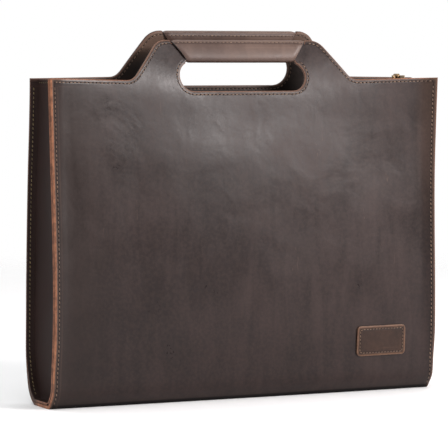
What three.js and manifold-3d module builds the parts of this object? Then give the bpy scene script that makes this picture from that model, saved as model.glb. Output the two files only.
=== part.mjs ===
// A leather laptop bag. One doubled leather sheet makes the front, the bottom and the back, with a
// handle horn and a hand slot in each panel. Two gussets close its sides, leather sleeves are wound
// round its grips, and a zip is set low in its mouth.
// Millimetres, +Z up, front towards -Y. The origin is on the floor under the middle of the bag.

import * as THREE from 'three';
import Module from 'manifold-3d';

const { lerp, clamp, smoothstep } = THREE.MathUtils;

// Body
const BODY_WIDTH = 390;
const BODY_HEIGHT = 293;
const BODY_DEPTH = 74;
const PANEL_WALL = 3;
const FIT_GAP = 0.3;

// Side seams: the edges flare out from the panels, and are drawn in where the bag is full
const LIP_WIDTH = 14;
const LIP_FLARE = 5;
const SEAM_ALLOWANCE = 7;
const SEAM_DRAW_IN = 2.2;
// How much shorter the right half is at the floor than at the top edge
const RIGHT_TAPER = 3.6;
const SEAM_GAP = 0.45;
const GUSSET_WALL = 2;
const GUSSET_HOLLOW = 3;
const GUSSET_DROP = 0.5;

// Handle horns: straight slopes between a narrow top and a wide base, with rounded corners
const HORN_BASE_WIDTH = 222;
const HORN_BASE_RADIUS = 13;
const SLOT_LENGTH = 127;

// Grip sleeves: slanted ends, longer along the top than along the slot
const SLEEVE_WALL = 1.6;
const SLEEVE_GAP = 0.5;
const SLEEVE_TOP_LENGTH = 136.5;
const SLEEVE_SLOT_LENGTH = 110;
const SLEEVE_FULLNESS = 0.8;

// Label patch, low on the right of the front
const PATCH_WIDTH = 53;
const PATCH_HEIGHT = 28;
const PATCH_WALL = 1.6;
const PATCH_RADIUS = 4;
const PATCH_SIDE_CLEARANCE = 32;
const PATCH_FLOOR_CLEARANCE = 34.3;
const PATCH_CENTRE_X = BODY_WIDTH / 2 - PATCH_SIDE_CLEARANCE - PATCH_WIDTH / 2;
const PATCH_CENTRE_Z = PATCH_FLOOR_CLEARANCE + PATCH_HEIGHT / 2;

// Zip, set low enough in the mouth to leave the hand slots free
const ZIP_DROP = 24;
const ZIP_SIDE_CLEARANCE = 39;
const ZIP_LENGTH = BODY_WIDTH - 2 * ZIP_SIDE_CLEARANCE;
const FACING_WALL = 1.2;
const FACING_HEM = 8;
const FACING_OPENING = 13;
const TAPE_WALL = 1;
const TAPE_WIDTH = 24;
const TAPE_BEND_RADIUS = 14;
const TAPE_STAND_UP = 2;
const CHAIN_WIDTH = 6;
const CHAIN_HEIGHT = 2;
const SLIDER_WIDTH = 9;
const SLIDER_LENGTH = 12;
const SLIDER_HEIGHT = 3.4;
const SLIDER_RADIUS = 2;
const SLIDER_OVERHANG = 1.5;
const PULL_WIDTH = 5;
const PULL_LENGTH = 18;
const PULL_WALL = 1.4;
const PULL_RADIUS = 1.5;

// Each panel's sections, from its top edge down to the floor. height is a share of BODY_HEIGHT.
// sides and middle tell how far the leather stands out from the mid plane, beside the seams and
// half way between them, as shares of half of BODY_DEPTH.
const FRONT = {
  outward: -1,
  sections: [
    { height: 1.0, sides: 0.66, middle: 0.325 },
    { height: 0.86, sides: 0.66, middle: 0.52 },
    { height: 0.7, sides: 0.67, middle: 0.72 },
    { height: 0.52, sides: 0.73, middle: 0.86 },
    { height: 0.36, sides: 0.778, middle: 0.92 },
    { height: 0.22, sides: 0.784, middle: 0.92 },
    { height: 0.12, sides: 0.758, middle: 0.86 },
    { height: 0.045, sides: 0.753, middle: 0.79 },
    { height: 0.018, sides: 0.62, middle: 0.66 },
    { height: 0, sides: 0.49, middle: 0.54 },
  ],
  // Sizes above and below the level of BODY_HEIGHT, and how far the grip leans inwards
  edgeSag: 1.8,
  hornTopWidth: 163,
  hornCornerRadius: 16,
  hornRise: 34.5,
  hornLean: 12.9,
  slotFloor: -11.9,
  slotRoof: 14.8,
};
const BACK = {
  outward: 1,
  sections: [
    { height: 1.0, sides: 0.5, middle: 0.745 },
    { height: 0.86, sides: 0.614, middle: 0.82 },
    { height: 0.7, sides: 0.776, middle: 0.9 },
    { height: 0.52, sides: 0.889, middle: 0.98 },
    { height: 0.36, sides: 0.927, middle: 1.03 },
    { height: 0.22, sides: 0.919, middle: 1.02 },
    { height: 0.12, sides: 0.91, middle: 0.97 },
    { height: 0.045, sides: 0.818, middle: 0.87 },
    { height: 0.018, sides: 0.66, middle: 0.72 },
    { height: 0, sides: 0.42, middle: 0.47 },
  ],
  edgeSag: -1.2,
  hornTopWidth: 160.5,
  hornCornerRadius: 18,
  hornRise: 43.2,
  hornLean: 10.1,
  slotFloor: -7,
  slotRoof: 21.5,
};

// The line round a grip sleeve: up is a share of half its height, out a share of half its depth
const SLEEVE_RING = [
  { up: -1, out: -0.45 },
  { up: -1, out: 0.45 },
  { up: -0.8, out: 1 },
  { up: -0.3, out: 1 },
  { up: 0.3, out: 1 },
  { up: 0.8, out: 1 },
  { up: 1, out: 0.45 },
  { up: 1, out: -0.45 },
  { up: 0.8, out: -1 },
  { up: 0.3, out: -1 },
  { up: -0.3, out: -1 },
  { up: -0.8, out: -1 },
];
// Rows of a gusset's web, as shares of the way from its flange to its middle line
const WEB_ROWS = [0.12, 0.4, 0.7, 1];

// Meshing: how finely the curved sheets are divided
const SECTION_STEPS = 2;
const PANEL_COLUMNS = 10;
const SLEEVE_STATIONS = 12;
const PATCH_ROWS = 8;
const PATCH_COLUMNS = 10;
const FACING_STATIONS = 16;
const ZIP_STATIONS = 14;
const ARC_STEPS = 6;
const HALVINGS = 30;
// How far cutting shapes reach past what they cut
const CUT_MARGIN = 6;
// Keeps two arcs in a row from ending in the same point
const ARC_SPACING = 0.01;

const HALF_WIDTH = BODY_WIDTH / 2;
const HALF_DEPTH = BODY_DEPTH / 2;
// How the panels pass from their side shape to their middle shape across the bag
const BULGE_POWER = 2.3;
// How the lip turns outwards, and the share of BODY_HEIGHT at which its flare is full
const FLARE_POWER = 1.6;
const FLARE_FULL = 0.2;

const FINISHES = {
  wrap: { color: 0x4b3f3c, roughness: 0.55 },
  gusset: { color: 0x2e2523, roughness: 0.55 },
  sleeve: { color: 0x7c6c64, roughness: 0.5 },
  patch: { color: 0x4a3a31, roughness: 0.55 },
  facing: { color: 0x2b211e, roughness: 0.6 },
  tape: { color: 0xb7a58c, roughness: 0.9 },
  metal: { color: 0x4a4238, roughness: 0.4, metalness: 0.9 },
};

const wasm = await Module();
wasm.setup();

// How far out a panel stands in one row of its table; blend runs from the seams to the middle
function standOut(panel, row, blend) {
  return panel.outward * lerp(row.sides, row.middle, blend) * HALF_DEPTH;
}

// The panel's line at one place across the bag, from the top of its horn down to the floor
function panelLine(panel, blend) {
  const top = panel.sections[0];
  const reach = panel.hornRise + CUT_MARGIN;
  const lean = (panel.hornLean * blend * reach) / panel.hornRise;
  const hornTop = new THREE.Vector3(0, standOut(panel, top, blend) - panel.outward * lean, BODY_HEIGHT + reach);
  const body = panel.sections.map(
    (row) => new THREE.Vector3(0, standOut(panel, row, blend), row.height * BODY_HEIGHT),
  );
  return [hornTop, ...body];
}

// The whole section of the wrap at a distance x from the middle: front, floor, back
function wrapSection(x) {
  const share = Math.min(Math.abs(x) / HALF_WIDTH, 1);
  const blend = 1 - share ** BULGE_POWER;
  const points = [...panelLine(FRONT, blend), ...panelLine(BACK, blend).reverse()];
  return new THREE.CatmullRomCurve3(points, false, 'centripetal');
}

const SECTION_ROWS = FRONT.sections.length + BACK.sections.length + 2;
const LINE_STEPS = (SECTION_ROWS - 1) * SECTION_STEPS;

// A point of the wrap's outer face, at x across the bag and t along the section
function wrapPoint(x, t, section = wrapSection(x)) {
  const point = section.getPoint(t);
  const tangent = section.getTangent(t);
  const heightShare = point.z / BODY_HEIGHT;
  const across = (Math.abs(x) - (HALF_WIDTH - LIP_WIDTH)) / LIP_WIDTH;
  const flare = LIP_FLARE * clamp(across, 0, 1) ** FLARE_POWER * smoothstep(heightShare, 0, FLARE_FULL);
  const taper = x > 0 ? RIGHT_TAPER * clamp(1 - heightShare, 0, 1) : 0;
  const drawIn = SEAM_DRAW_IN * Math.sin(Math.PI * clamp(heightShare, 0, 1)) + taper;
  return new THREE.Vector3(
    x * (1 - drawIn / HALF_WIDTH),
    point.y + flare * tangent.z,
    Math.max(0, point.z - flare * tangent.y),
  );
}

// The wrap's outward normal, from its slopes along and across
function wrapNormal(x, t) {
  const step = 0.002;
  const reach = 1;
  const along = wrapPoint(x, Math.min(t + step, 1)).sub(wrapPoint(x, Math.max(t - step, 0)));
  const across = wrapPoint(x + reach, t).sub(wrapPoint(x - reach, t));
  return along.cross(across).normalize();
}

// Where a panel's line crosses the height z
function panelParameter(panel, x, z) {
  const section = wrapSection(x);
  let high = panel === FRONT ? 0 : 1;
  let low = 0.5;
  for (let turn = 0; turn < HALVINGS; turn += 1) {
    const middle = (high + low) / 2;
    if (wrapPoint(x, middle, section).z > z) {
      high = middle;
    } else {
      low = middle;
    }
  }
  return (high + low) / 2;
}

// A point at a depth under the outer face of one panel, at x across and z up
function panelPoint(panel, x, z, depth) {
  const t = panelParameter(panel, x, z);
  return wrapPoint(x, t).addScaledVector(wrapNormal(x, t), -depth);
}

// Geometry of a closed solid from points and triangles, with its faces turned outwards
function solidGeometry(points, triangles) {
  let volume = 0;
  for (const [a, b, c] of triangles) {
    volume += points[a].dot(new THREE.Vector3().crossVectors(points[b], points[c]));
  }
  const index = volume < 0 ? triangles.flatMap(([a, b, c]) => [a, c, b]) : triangles.flat();
  const geometry = new THREE.BufferGeometry().setFromPoints(points);
  geometry.setIndex(index);
  geometry.computeVertexNormals();
  return geometry;
}

// Closes a sheet: its outer face, its inner face, and walls along every free edge.
// Points that share a place are welded, which closes rings and seams in the sheet.
function sheetSolid(outer, inner, faces) {
  const places = new Map();
  const welded = outer.map((point, index) => {
    const key = point.toArray().map((value) => value.toFixed(3)).join(' ');
    if (!places.has(key)) {
      places.set(key, index);
    }
    return places.get(key);
  });
  const kept = [...new Set(welded)];
  const order = new Map(kept.map((original, index) => [original, index]));
  const points = [...kept.map((index) => outer[index]), ...kept.map((index) => inner[index])];
  const count = kept.length;
  const sheet = faces
    .map((face) => face.map((corner) => order.get(welded[corner])))
    .filter(([a, b, c]) => a !== b && b !== c && c !== a);
  const triangles = [];
  const edges = new Set();
  for (const [a, b, c] of sheet) {
    triangles.push([a, b, c], [count + a, count + c, count + b]);
    edges.add(`${a} ${b}`).add(`${b} ${c}`).add(`${c} ${a}`);
  }
  for (const edge of edges) {
    const [a, b] = edge.split(' ').map(Number);
    if (!edges.has(`${b} ${a}`)) {
      triangles.push([b, a, count + a], [b, count + a, count + b]);
    }
  }
  return solidGeometry(points, triangles);
}

// Triangles of a grid of points stored row by row
function gridFaces(rows, columns) {
  const faces = [];
  for (let row = 0; row < rows - 1; row += 1) {
    for (let column = 0; column < columns - 1; column += 1) {
      const corner = row * columns + column;
      faces.push([corner, corner + 1, corner + columns + 1]);
      faces.push([corner, corner + columns + 1, corner + columns]);
    }
  }
  return faces;
}

function toManifold(geometry) {
  return new wasm.Manifold(
    new wasm.Mesh({
      numProp: 3,
      vertProperties: new Float32Array(geometry.getAttribute('position').array),
      triVerts: new Uint32Array(geometry.getIndex().array),
    }),
  );
}

function fromManifold(solid) {
  const mesh = solid.getMesh();
  const geometry = new THREE.BufferGeometry();
  geometry.setAttribute('position', new THREE.BufferAttribute(new Float32Array(mesh.vertProperties), 3));
  geometry.setIndex(Array.from(mesh.triVerts));
  geometry.computeVertexNormals();
  return geometry;
}

// The closed line through corners { x, z, radius }, each rounded by an arc of its radius
function roundedOutline(corners) {
  const points = [];
  corners.forEach((corner, index) => {
    const here = new THREE.Vector2(corner.x, corner.z);
    if (!corner.radius) {
      points.push(here);
      return;
    }
    const before = corners.at(index - 1);
    const after = corners[(index + 1) % corners.length];
    const back = new THREE.Vector2(before.x, before.z).sub(here).normalize();
    const ahead = new THREE.Vector2(after.x, after.z).sub(here).normalize();
    const halfAngle = Math.acos(clamp(back.dot(ahead), -1, 1)) / 2;
    const start = here.clone().addScaledVector(back, corner.radius / Math.tan(halfAngle));
    const end = here.clone().addScaledVector(ahead, corner.radius / Math.tan(halfAngle));
    const bisector = back.clone().add(ahead).normalize();
    const centre = here.clone().addScaledVector(bisector, corner.radius / Math.sin(halfAngle));
    const from = start.sub(centre);
    const turn = Math.atan2(from.cross(end.clone().sub(centre)), from.dot(end.clone().sub(centre)));
    for (let step = 0; step <= ARC_STEPS; step += 1) {
      points.push(from.clone().rotateAround(new THREE.Vector2(), (turn * step) / ARC_STEPS).add(centre));
    }
  });
  return points;
}

// A prism over an outline in the XZ plane, from yStart to yEnd
function prism(outline, yStart, yEnd) {
  const caps = THREE.ShapeUtils.triangulateShape(outline, []);
  const near = outline.map((point) => new THREE.Vector3(point.x, yStart, point.y));
  const far = outline.map((point) => new THREE.Vector3(point.x, yEnd, point.y));
  return toManifold(sheetSolid(near, far, caps));
}

// What lies above a panel's top edge and outside its horn
function aboveOutline(panel) {
  const side = HALF_WIDTH + CUT_MARGIN;
  const edge = BODY_HEIGHT - panel.edgeSag;
  const top = BODY_HEIGHT + panel.hornRise;
  const sky = top + 2 * CUT_MARGIN;
  const halfTop = panel.hornTopWidth / 2;
  const radius = panel.hornCornerRadius;
  return roundedOutline([
    { x: -side, z: sky },
    { x: -side, z: BODY_HEIGHT },
    { x: -HALF_WIDTH, z: BODY_HEIGHT },
    { x: -HORN_BASE_WIDTH / 2, z: edge, radius: HORN_BASE_RADIUS },
    { x: -halfTop, z: top, radius },
    { x: halfTop, z: top, radius },
    { x: HORN_BASE_WIDTH / 2, z: edge, radius: HORN_BASE_RADIUS },
    { x: HALF_WIDTH, z: BODY_HEIGHT },
    { x: side, z: BODY_HEIGHT },
    { x: side, z: sky },
  ]);
}

function slotOutline(panel) {
  const floor = BODY_HEIGHT + panel.slotFloor;
  const roof = BODY_HEIGHT + panel.slotRoof;
  const end = SLOT_LENGTH / 2;
  const radius = (roof - floor) / 2 - ARC_SPACING;
  return roundedOutline([
    { x: -end, z: floor, radius },
    { x: end, z: floor, radius },
    { x: end, z: roof, radius },
    { x: -end, z: roof, radius },
  ]);
}

// Half the sleeve's length at a share of its height
function sleeveHalfLength(share) {
  return lerp(SLEEVE_SLOT_LENGTH, SLEEVE_TOP_LENGTH, share) / 2;
}

// The grip bar is narrower under its sleeve, so that the sleeve lies flush with the horn
function gripNotches(panel) {
  const leanDrop = ((PANEL_WALL + 2 * SLEEVE_GAP) * panel.hornLean) / panel.hornRise;
  const inset = SLEEVE_WALL + SLEEVE_GAP + leanDrop;
  const roof = BODY_HEIGHT + panel.slotRoof;
  const top = BODY_HEIGHT + panel.hornRise;
  const box = (half, low, high) => [
    new THREE.Vector2(-half, low),
    new THREE.Vector2(half, low),
    new THREE.Vector2(half, high),
    new THREE.Vector2(-half, high),
  ];
  const slotShare = inset / (top - roof);
  return [
    box(sleeveHalfLength(slotShare) + SLEEVE_GAP, roof - inset, roof + inset),
    box(sleeveHalfLength(1) + SLEEVE_GAP, top - inset, top + CUT_MARGIN),
  ];
}

// Places across the wrap: even columns over the panels, then the lip and its seam
function wrapColumns() {
  const flat = HALF_WIDTH - LIP_WIDTH;
  const right = [];
  for (let column = 1; column < PANEL_COLUMNS; column += 1) {
    right.push((flat * column) / PANEL_COLUMNS);
  }
  right.push(flat, ...seamColumns());
  return [...right.map((x) => -x).reverse(), 0, ...right];
}

function seamColumns() {
  return [HALF_WIDTH - SEAM_ALLOWANCE, HALF_WIDTH - SEAM_ALLOWANCE / 2, HALF_WIDTH];
}

function bodyWrap() {
  const columns = wrapColumns();
  const outer = [];
  const inner = [];
  for (const x of columns) {
    const section = wrapSection(x);
    for (let step = 0; step <= LINE_STEPS; step += 1) {
      const t = step / LINE_STEPS;
      const point = wrapPoint(x, t, section);
      const normal = point.z > 0 ? wrapNormal(x, t) : new THREE.Vector3(0, 0, -1);
      outer.push(point);
      inner.push(point.clone().addScaledVector(normal, -PANEL_WALL));
    }
  }
  let sheet = toManifold(sheetSolid(outer, inner, gridFaces(columns.length, LINE_STEPS + 1)));
  const split = mouthCentre(0);
  for (const panel of [FRONT, BACK]) {
    const far = panel.outward * (BODY_DEPTH + LIP_FLARE + CUT_MARGIN);
    const reach = [Math.min(split, far), Math.max(split, far)];
    for (const outline of [aboveOutline(panel), slotOutline(panel), ...gripNotches(panel)]) {
      sheet = sheet.subtract(prism(outline, ...reach));
    }
  }
  return fromManifold(sheet);
}

// Half way between the two panels' inner faces, at the level of the zip
function mouthCentre(x) {
  const level = BODY_HEIGHT - ZIP_DROP;
  const front = panelPoint(FRONT, x, level, PANEL_WALL);
  const back = panelPoint(BACK, x, level, PANEL_WALL);
  return (front.y + back.y) / 2;
}

// Line of the gusset's flange: the wrap's section below its top edge, at a depth under its face
function flangeLine(x, depth) {
  const top = BODY_HEIGHT - GUSSET_DROP;
  const start = panelParameter(FRONT, x, top);
  const end = panelParameter(BACK, x, top);
  const line = [];
  for (let step = SECTION_STEPS; step <= LINE_STEPS - SECTION_STEPS; step += 1) {
    const t = clamp(step / LINE_STEPS, start, end);
    line.push(wrapPoint(x, t).addScaledVector(wrapNormal(x, t), -depth));
  }
  return line;
}

// A gusset, on the right (side 1) or the left (side -1): flanges along the wrap's raw edge, then a
// web that hollows in to the middle
function gusset(side) {
  const backDepth = PANEL_WALL + SEAM_GAP;
  const faceDepth = backDepth + GUSSET_WALL;
  const columns = seamColumns().reverse();
  const outerRings = columns.map((x) => flangeLine(side * x, faceDepth));
  const innerRings = columns.map((x) => flangeLine(side * x, backDepth));
  const rim = outerRings.at(-1);
  const last = rim.length - 1;
  const floorRow = Math.round(last / 2) - SECTION_STEPS;
  const wall = new THREE.Vector3(side * GUSSET_WALL, 0, 0);
  for (const share of WEB_ROWS) {
    const ring = rim.map((point, index) => {
      const row = Math.min(index, last - index, floorRow);
      const middle = rim[row].clone().add(rim[last - row]).multiplyScalar(0.5);
      const web = point.clone().lerp(middle, share);
      web.x -= side * GUSSET_HOLLOW * (1 - (1 - share) ** 2);
      return web;
    });
    outerRings.push(ring);
    innerRings.push(ring.map((point) => point.clone().sub(wall)));
  }
  return sheetSolid(outerRings.flat(), innerRings.flat(), gridFaces(outerRings.length, rim.length));
}

// A grip sleeve: a closed ring round the bar, repeated along it, with slanted ends
function gripSleeve(panel) {
  const roof = BODY_HEIGHT + panel.slotRoof;
  const top = BODY_HEIGHT + panel.hornRise;
  const centre = (roof + top) / 2;
  const halfHeight = (top - roof) / 2;
  const halfDepth = PANEL_WALL / 2 + SLEEVE_GAP + SLEEVE_WALL;
  const outer = [];
  const inner = [];
  for (let station = 0; station <= SLEEVE_STATIONS; station += 1) {
    const along = (2 * station) / SLEEVE_STATIONS - 1;
    for (const { up, out } of [...SLEEVE_RING, SLEEVE_RING[0]]) {
      const x = along * sleeveHalfLength((up + 1) / 2);
      const fullness = SLEEVE_FULLNESS * (1 - up ** 2);
      const lift = centre + up * halfHeight;
      const innerLift = centre + up * (halfHeight - SLEEVE_WALL);
      const middle = PANEL_WALL / 2;
      outer.push(panelPoint(panel, x, lift, middle - out * (halfDepth + fullness)));
      inner.push(panelPoint(panel, x, innerLift, middle - Math.sign(out) * (PANEL_WALL / 2 + SLEEVE_GAP)));
    }
  }
  return sheetSolid(outer, inner, gridFaces(SLEEVE_STATIONS + 1, SLEEVE_RING.length + 1));
}

// A rounded rectangle laid on the front panel, with rows that follow its corner arcs
function labelPatch() {
  const halfHeight = PATCH_HEIGHT / 2;
  const outer = [];
  const inner = [];
  for (let row = 0; row <= PATCH_ROWS; row += 1) {
    const up = -halfHeight * Math.cos((Math.PI * row) / PATCH_ROWS);
    const intoCorner = Math.max(0, Math.abs(up) - (halfHeight - PATCH_RADIUS));
    const inset = PATCH_RADIUS - Math.sqrt(Math.max(0, PATCH_RADIUS ** 2 - intoCorner ** 2));
    for (let column = 0; column <= PATCH_COLUMNS; column += 1) {
      const x = PATCH_CENTRE_X + (PATCH_WIDTH / 2 - inset) * ((2 * column) / PATCH_COLUMNS - 1);
      outer.push(panelPoint(FRONT, x, PATCH_CENTRE_Z + up, -FIT_GAP - PATCH_WALL));
      inner.push(panelPoint(FRONT, x, PATCH_CENTRE_Z + up, -FIT_GAP));
    }
  }
  return sheetSolid(outer, inner, gridFaces(PATCH_ROWS + 1, PATCH_COLUMNS + 1));
}

// A leather strip from a panel's inner face to the zip, with its hem turned down along the panel
function zipFacing(panel) {
  const level = BODY_HEIGHT - ZIP_DROP;
  const depth = PANEL_WALL + FIT_GAP;
  const outer = [];
  const inner = [];
  for (let station = 0; station <= FACING_STATIONS; station += 1) {
    const x = (ZIP_LENGTH / 2) * ((2 * station) / FACING_STATIONS - 1);
    const hem = (z, under) => panelPoint(panel, x, z, depth + under).setZ(z);
    const edge = mouthCentre(x) + (panel.outward * FACING_OPENING) / 2;
    outer.push(hem(level - FACING_HEM, 0), hem(level, 0), new THREE.Vector3(x, edge, level));
    inner.push(
      hem(level - FACING_HEM, FACING_WALL),
      hem(level - FACING_WALL, FACING_WALL),
      new THREE.Vector3(x, edge, level - FACING_WALL),
    );
  }
  return sheetSolid(outer, inner, gridFaces(FACING_STATIONS + 1, 3));
}

// The zip's line, seen from the front: level along the mouth, then bent up at its right end.
// Each station gives its place, its direction along the zip and its upper side.
function zipStations() {
  const level = BODY_HEIGHT - ZIP_DROP - FACING_WALL - FIT_GAP - TAPE_WALL;
  const stations = [];
  const start = -ZIP_LENGTH / 2;
  const bendStart = ZIP_LENGTH / 2 + FIT_GAP;
  for (let step = 0; step < ZIP_STATIONS; step += 1) {
    const x = lerp(start, bendStart, step / ZIP_STATIONS);
    stations.push({ x, y: mouthCentre(x), z: level, angle: 0 });
  }
  const y = mouthCentre(bendStart);
  for (let step = 0; step <= ARC_STEPS; step += 1) {
    const angle = (Math.PI / 2) * (step / ARC_STEPS);
    const x = bendStart + TAPE_BEND_RADIUS * Math.sin(angle);
    const z = level + TAPE_BEND_RADIUS * (1 - Math.cos(angle));
    stations.push({ x, y, z, angle });
  }
  const end = stations.at(-1);
  stations.push({ ...end, z: BODY_HEIGHT + TAPE_STAND_UP });
  return stations;
}

// A strip along the zip, between two heights over the tape's underside
function zipStrip(width, low, high, stations = zipStations()) {
  const at = ({ x, y, z, angle }, across, height) =>
    new THREE.Vector3(x - height * Math.sin(angle), y + across, z + height * Math.cos(angle));
  const outer = stations.flatMap((station) => [-width / 2, width / 2].map((across) => at(station, across, high)));
  const inner = stations.flatMap((station) => [-width / 2, width / 2].map((across) => at(station, across, low)));
  return sheetSolid(outer, inner, gridFaces(stations.length, 2));
}

function zipChain() {
  const low = TAPE_WALL + FIT_GAP;
  const end = BODY_HEIGHT + TAPE_STAND_UP + SLIDER_OVERHANG - SLIDER_LENGTH - FIT_GAP;
  const stations = zipStations();
  stations[stations.length - 1].z = end;
  return zipStrip(CHAIN_WIDTH, low, low + CHAIN_HEIGHT, stations);
}

// A plate standing in the YZ plane, with rounded corners, over the point { x, y, z } of its foot
function plate(width, length, wall, radius, foot) {
  const half = width / 2;
  const outline = roundedOutline([
    { x: -half, z: 0, radius },
    { x: half, z: 0, radius },
    { x: half, z: length, radius },
    { x: -half, z: length, radius },
  ]);
  return fromManifold(prism(outline, -wall, 0).rotate([0, 0, 90]).translate([foot.x, foot.y, foot.z]));
}

// The slider lies on the teeth, and the pull hangs on its inner face
function zipSlider() {
  const { x, y, z } = zipStations().at(-1);
  const foot = { x: x - TAPE_WALL - FIT_GAP - SLIDER_HEIGHT, y, z: z + SLIDER_OVERHANG - SLIDER_LENGTH };
  return plate(SLIDER_WIDTH, SLIDER_LENGTH, SLIDER_HEIGHT, SLIDER_RADIUS, foot);
}

function zipPull() {
  const { x, y, z } = zipStations().at(-1);
  const foot = { x: x - TAPE_WALL - 2 * FIT_GAP - SLIDER_HEIGHT - PULL_WALL, y, z: z - PULL_LENGTH };
  return plate(PULL_WIDTH, PULL_LENGTH, PULL_WALL, PULL_RADIUS, foot);
}

function piece(name, geometry, finish) {
  const mesh = new THREE.Mesh(geometry, new THREE.MeshStandardMaterial(finish));
  mesh.name = name;
  return mesh;
}

const bag = new THREE.Group();
bag.add(
  piece('body_wrap', bodyWrap(), FINISHES.wrap),
  piece('gusset_left', gusset(-1), FINISHES.gusset),
  piece('gusset_right', gusset(1), FINISHES.gusset),
  piece('grip_wrap_front', gripSleeve(FRONT), FINISHES.sleeve),
  piece('grip_wrap_back', gripSleeve(BACK), FINISHES.sleeve),
  piece('label_patch', labelPatch(), FINISHES.patch),
  piece('zip_facing_front', zipFacing(FRONT), FINISHES.facing),
  piece('zip_facing_back', zipFacing(BACK), FINISHES.facing),
  piece('zip_tape', zipStrip(TAPE_WIDTH, 0, TAPE_WALL), FINISHES.tape),
  piece('zip_chain', zipChain(), FINISHES.metal),
  piece('zip_slider', zipSlider(), FINISHES.metal),
  piece('zip_pull', zipPull(), FINISHES.metal),
);

// The origin is under the middle of the whole bag
const bounds = new THREE.Box3().setFromObject(bag);
bag.position.y = -(bounds.min.y + bounds.max.y) / 2;

export default bag;
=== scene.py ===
"""Dresses the laptop bag: leather sheets laid on the bag's form, saddle stitches, grips, patch and zip.

The wrap, the patch and the body's stitch lines are laid out flat, then draped on one form, whose
tables are the same as those of the solids. The gussets, grips and zip follow lines of that form.
Sizes in the classes are millimetres, and finished meshes are metres.
"""

import logging
import math
from collections.abc import Callable, Sequence
from dataclasses import dataclass
from enum import Enum

import bmesh
import bpy
import numpy as np
from mathutils import Matrix, Vector


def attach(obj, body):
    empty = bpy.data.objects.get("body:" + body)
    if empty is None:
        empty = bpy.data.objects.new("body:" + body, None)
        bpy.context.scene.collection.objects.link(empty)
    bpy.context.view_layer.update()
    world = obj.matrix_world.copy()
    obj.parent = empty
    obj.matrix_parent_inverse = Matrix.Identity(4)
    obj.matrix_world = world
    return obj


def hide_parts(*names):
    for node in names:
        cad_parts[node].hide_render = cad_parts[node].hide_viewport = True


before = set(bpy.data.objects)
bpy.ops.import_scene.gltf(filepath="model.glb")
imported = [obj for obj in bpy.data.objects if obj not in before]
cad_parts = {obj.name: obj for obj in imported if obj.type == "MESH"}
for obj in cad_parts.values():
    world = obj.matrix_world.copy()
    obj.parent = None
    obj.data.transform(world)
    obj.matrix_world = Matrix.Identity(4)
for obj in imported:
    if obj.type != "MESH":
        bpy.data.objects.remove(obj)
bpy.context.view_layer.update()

log = logging.getLogger("laptop_bag")

MM = 0.001
ROOT = "root"
EDGE_LAYER = "edge_distance"
DEPTH_LAYER = "wall_depth"
SOURCE_LAYER = "source"
NUMBER_LAYER = "grid_number"
LENGTH_LAYER = "strip_length"
ACROSS_LAYER = "strip_across"
TINY = 1e-12

Span = tuple[float, float]


class Side(Enum):
    """The two side seams of the bag."""

    LEFT = -1
    RIGHT = 1


class Slot(Enum):
    """Material slots of the record."""

    WRAP = "wrap_leather"
    GUSSET = "gusset_leather"
    GRIP = "grip_leather"
    PATCH = "patch_leather"
    FACING = "facing_leather"
    TAPE = "zip_tape"
    METAL = "zip_metal"


# Form


@dataclass(frozen=True)
class Panel:
    """One panel's rows, and the sizes of its horn and hand slot.

    Its sides and middles say how far it stands out at the shares of the bag's height in HEIGHTS, as
    shares of half the bag's depth.
    """

    name: str
    outward: int
    sides: tuple[float, ...]
    middles: tuple[float, ...]
    edge_sag: float
    horn_top_width: float
    horn_corner_radius: float
    horn_rise: float
    horn_lean: float
    slot_floor: float
    slot_roof: float


HEIGHTS = (1.0, 0.86, 0.7, 0.52, 0.36, 0.22, 0.12, 0.045, 0.018, 0.0)
FRONT = Panel(
    name="front",
    outward=-1,
    sides=(0.66, 0.66, 0.67, 0.73, 0.778, 0.784, 0.758, 0.753, 0.62, 0.49),
    middles=(0.325, 0.52, 0.72, 0.86, 0.92, 0.92, 0.86, 0.79, 0.66, 0.54),
    edge_sag=1.8,
    horn_top_width=163,
    horn_corner_radius=16,
    horn_rise=34.5,
    horn_lean=12.9,
    slot_floor=-11.9,
    slot_roof=14.8,
)
BACK = Panel(
    name="back",
    outward=1,
    sides=(0.5, 0.614, 0.776, 0.889, 0.927, 0.919, 0.91, 0.818, 0.66, 0.42),
    middles=(0.745, 0.82, 0.9, 0.98, 1.03, 1.02, 0.97, 0.87, 0.72, 0.47),
    edge_sag=-1.2,
    horn_top_width=160.5,
    horn_corner_radius=18,
    horn_rise=43.2,
    horn_lean=10.1,
    slot_floor=-7,
    slot_roof=21.5,
)


@dataclass(frozen=True)
class Dent:
    """A soft rise or hollow of a panel: its middle, its reach both ways, its slant and its height."""

    panel: Panel
    x: float
    z: float
    reach_x: float
    reach_z: float
    slant: float
    height: float


DENTS = (
    Dent(FRONT, -120, 190, 26, 90, 4, -0.9),
    Dent(FRONT, -40, 225, 70, 16, 8, 0.5),
    Dent(FRONT, 60, 150, 90, 30, -12, -0.5),
    Dent(FRONT, 130, 215, 38, 34, 20, -0.7),
    Dent(FRONT, 25, 60, 110, 26, 3, 0.5),
    Dent(FRONT, -130, 60, 40, 40, 0, 0.5),
    Dent(BACK, -70, 180, 60, 70, 10, -1.0),
    Dent(BACK, 80, 120, 80, 40, -15, 0.9),
    Dent(BACK, 10, 230, 120, 18, 5, -0.7),
)


def eased(value: np.ndarray) -> np.ndarray:
    """The smooth step from 0 to 1 of a value that is clipped to that range.

    Args:
        value: Shares, which may lie outside 0 to 1.

    Returns:
        The eased shares.
    """
    share = np.clip(value, 0, 1)
    return share * share * (3 - 2 * share)


def unit_rows(rows: np.ndarray) -> np.ndarray:
    """Rows with a length of 1."""
    return rows / np.linalg.norm(rows, axis=1)[:, None]


def travel_along(line: np.ndarray) -> np.ndarray:
    """The way along a line's points up to each of them."""
    return np.concatenate([[0], np.cumsum(np.linalg.norm(np.diff(line, axis=0), axis=1))])


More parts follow.
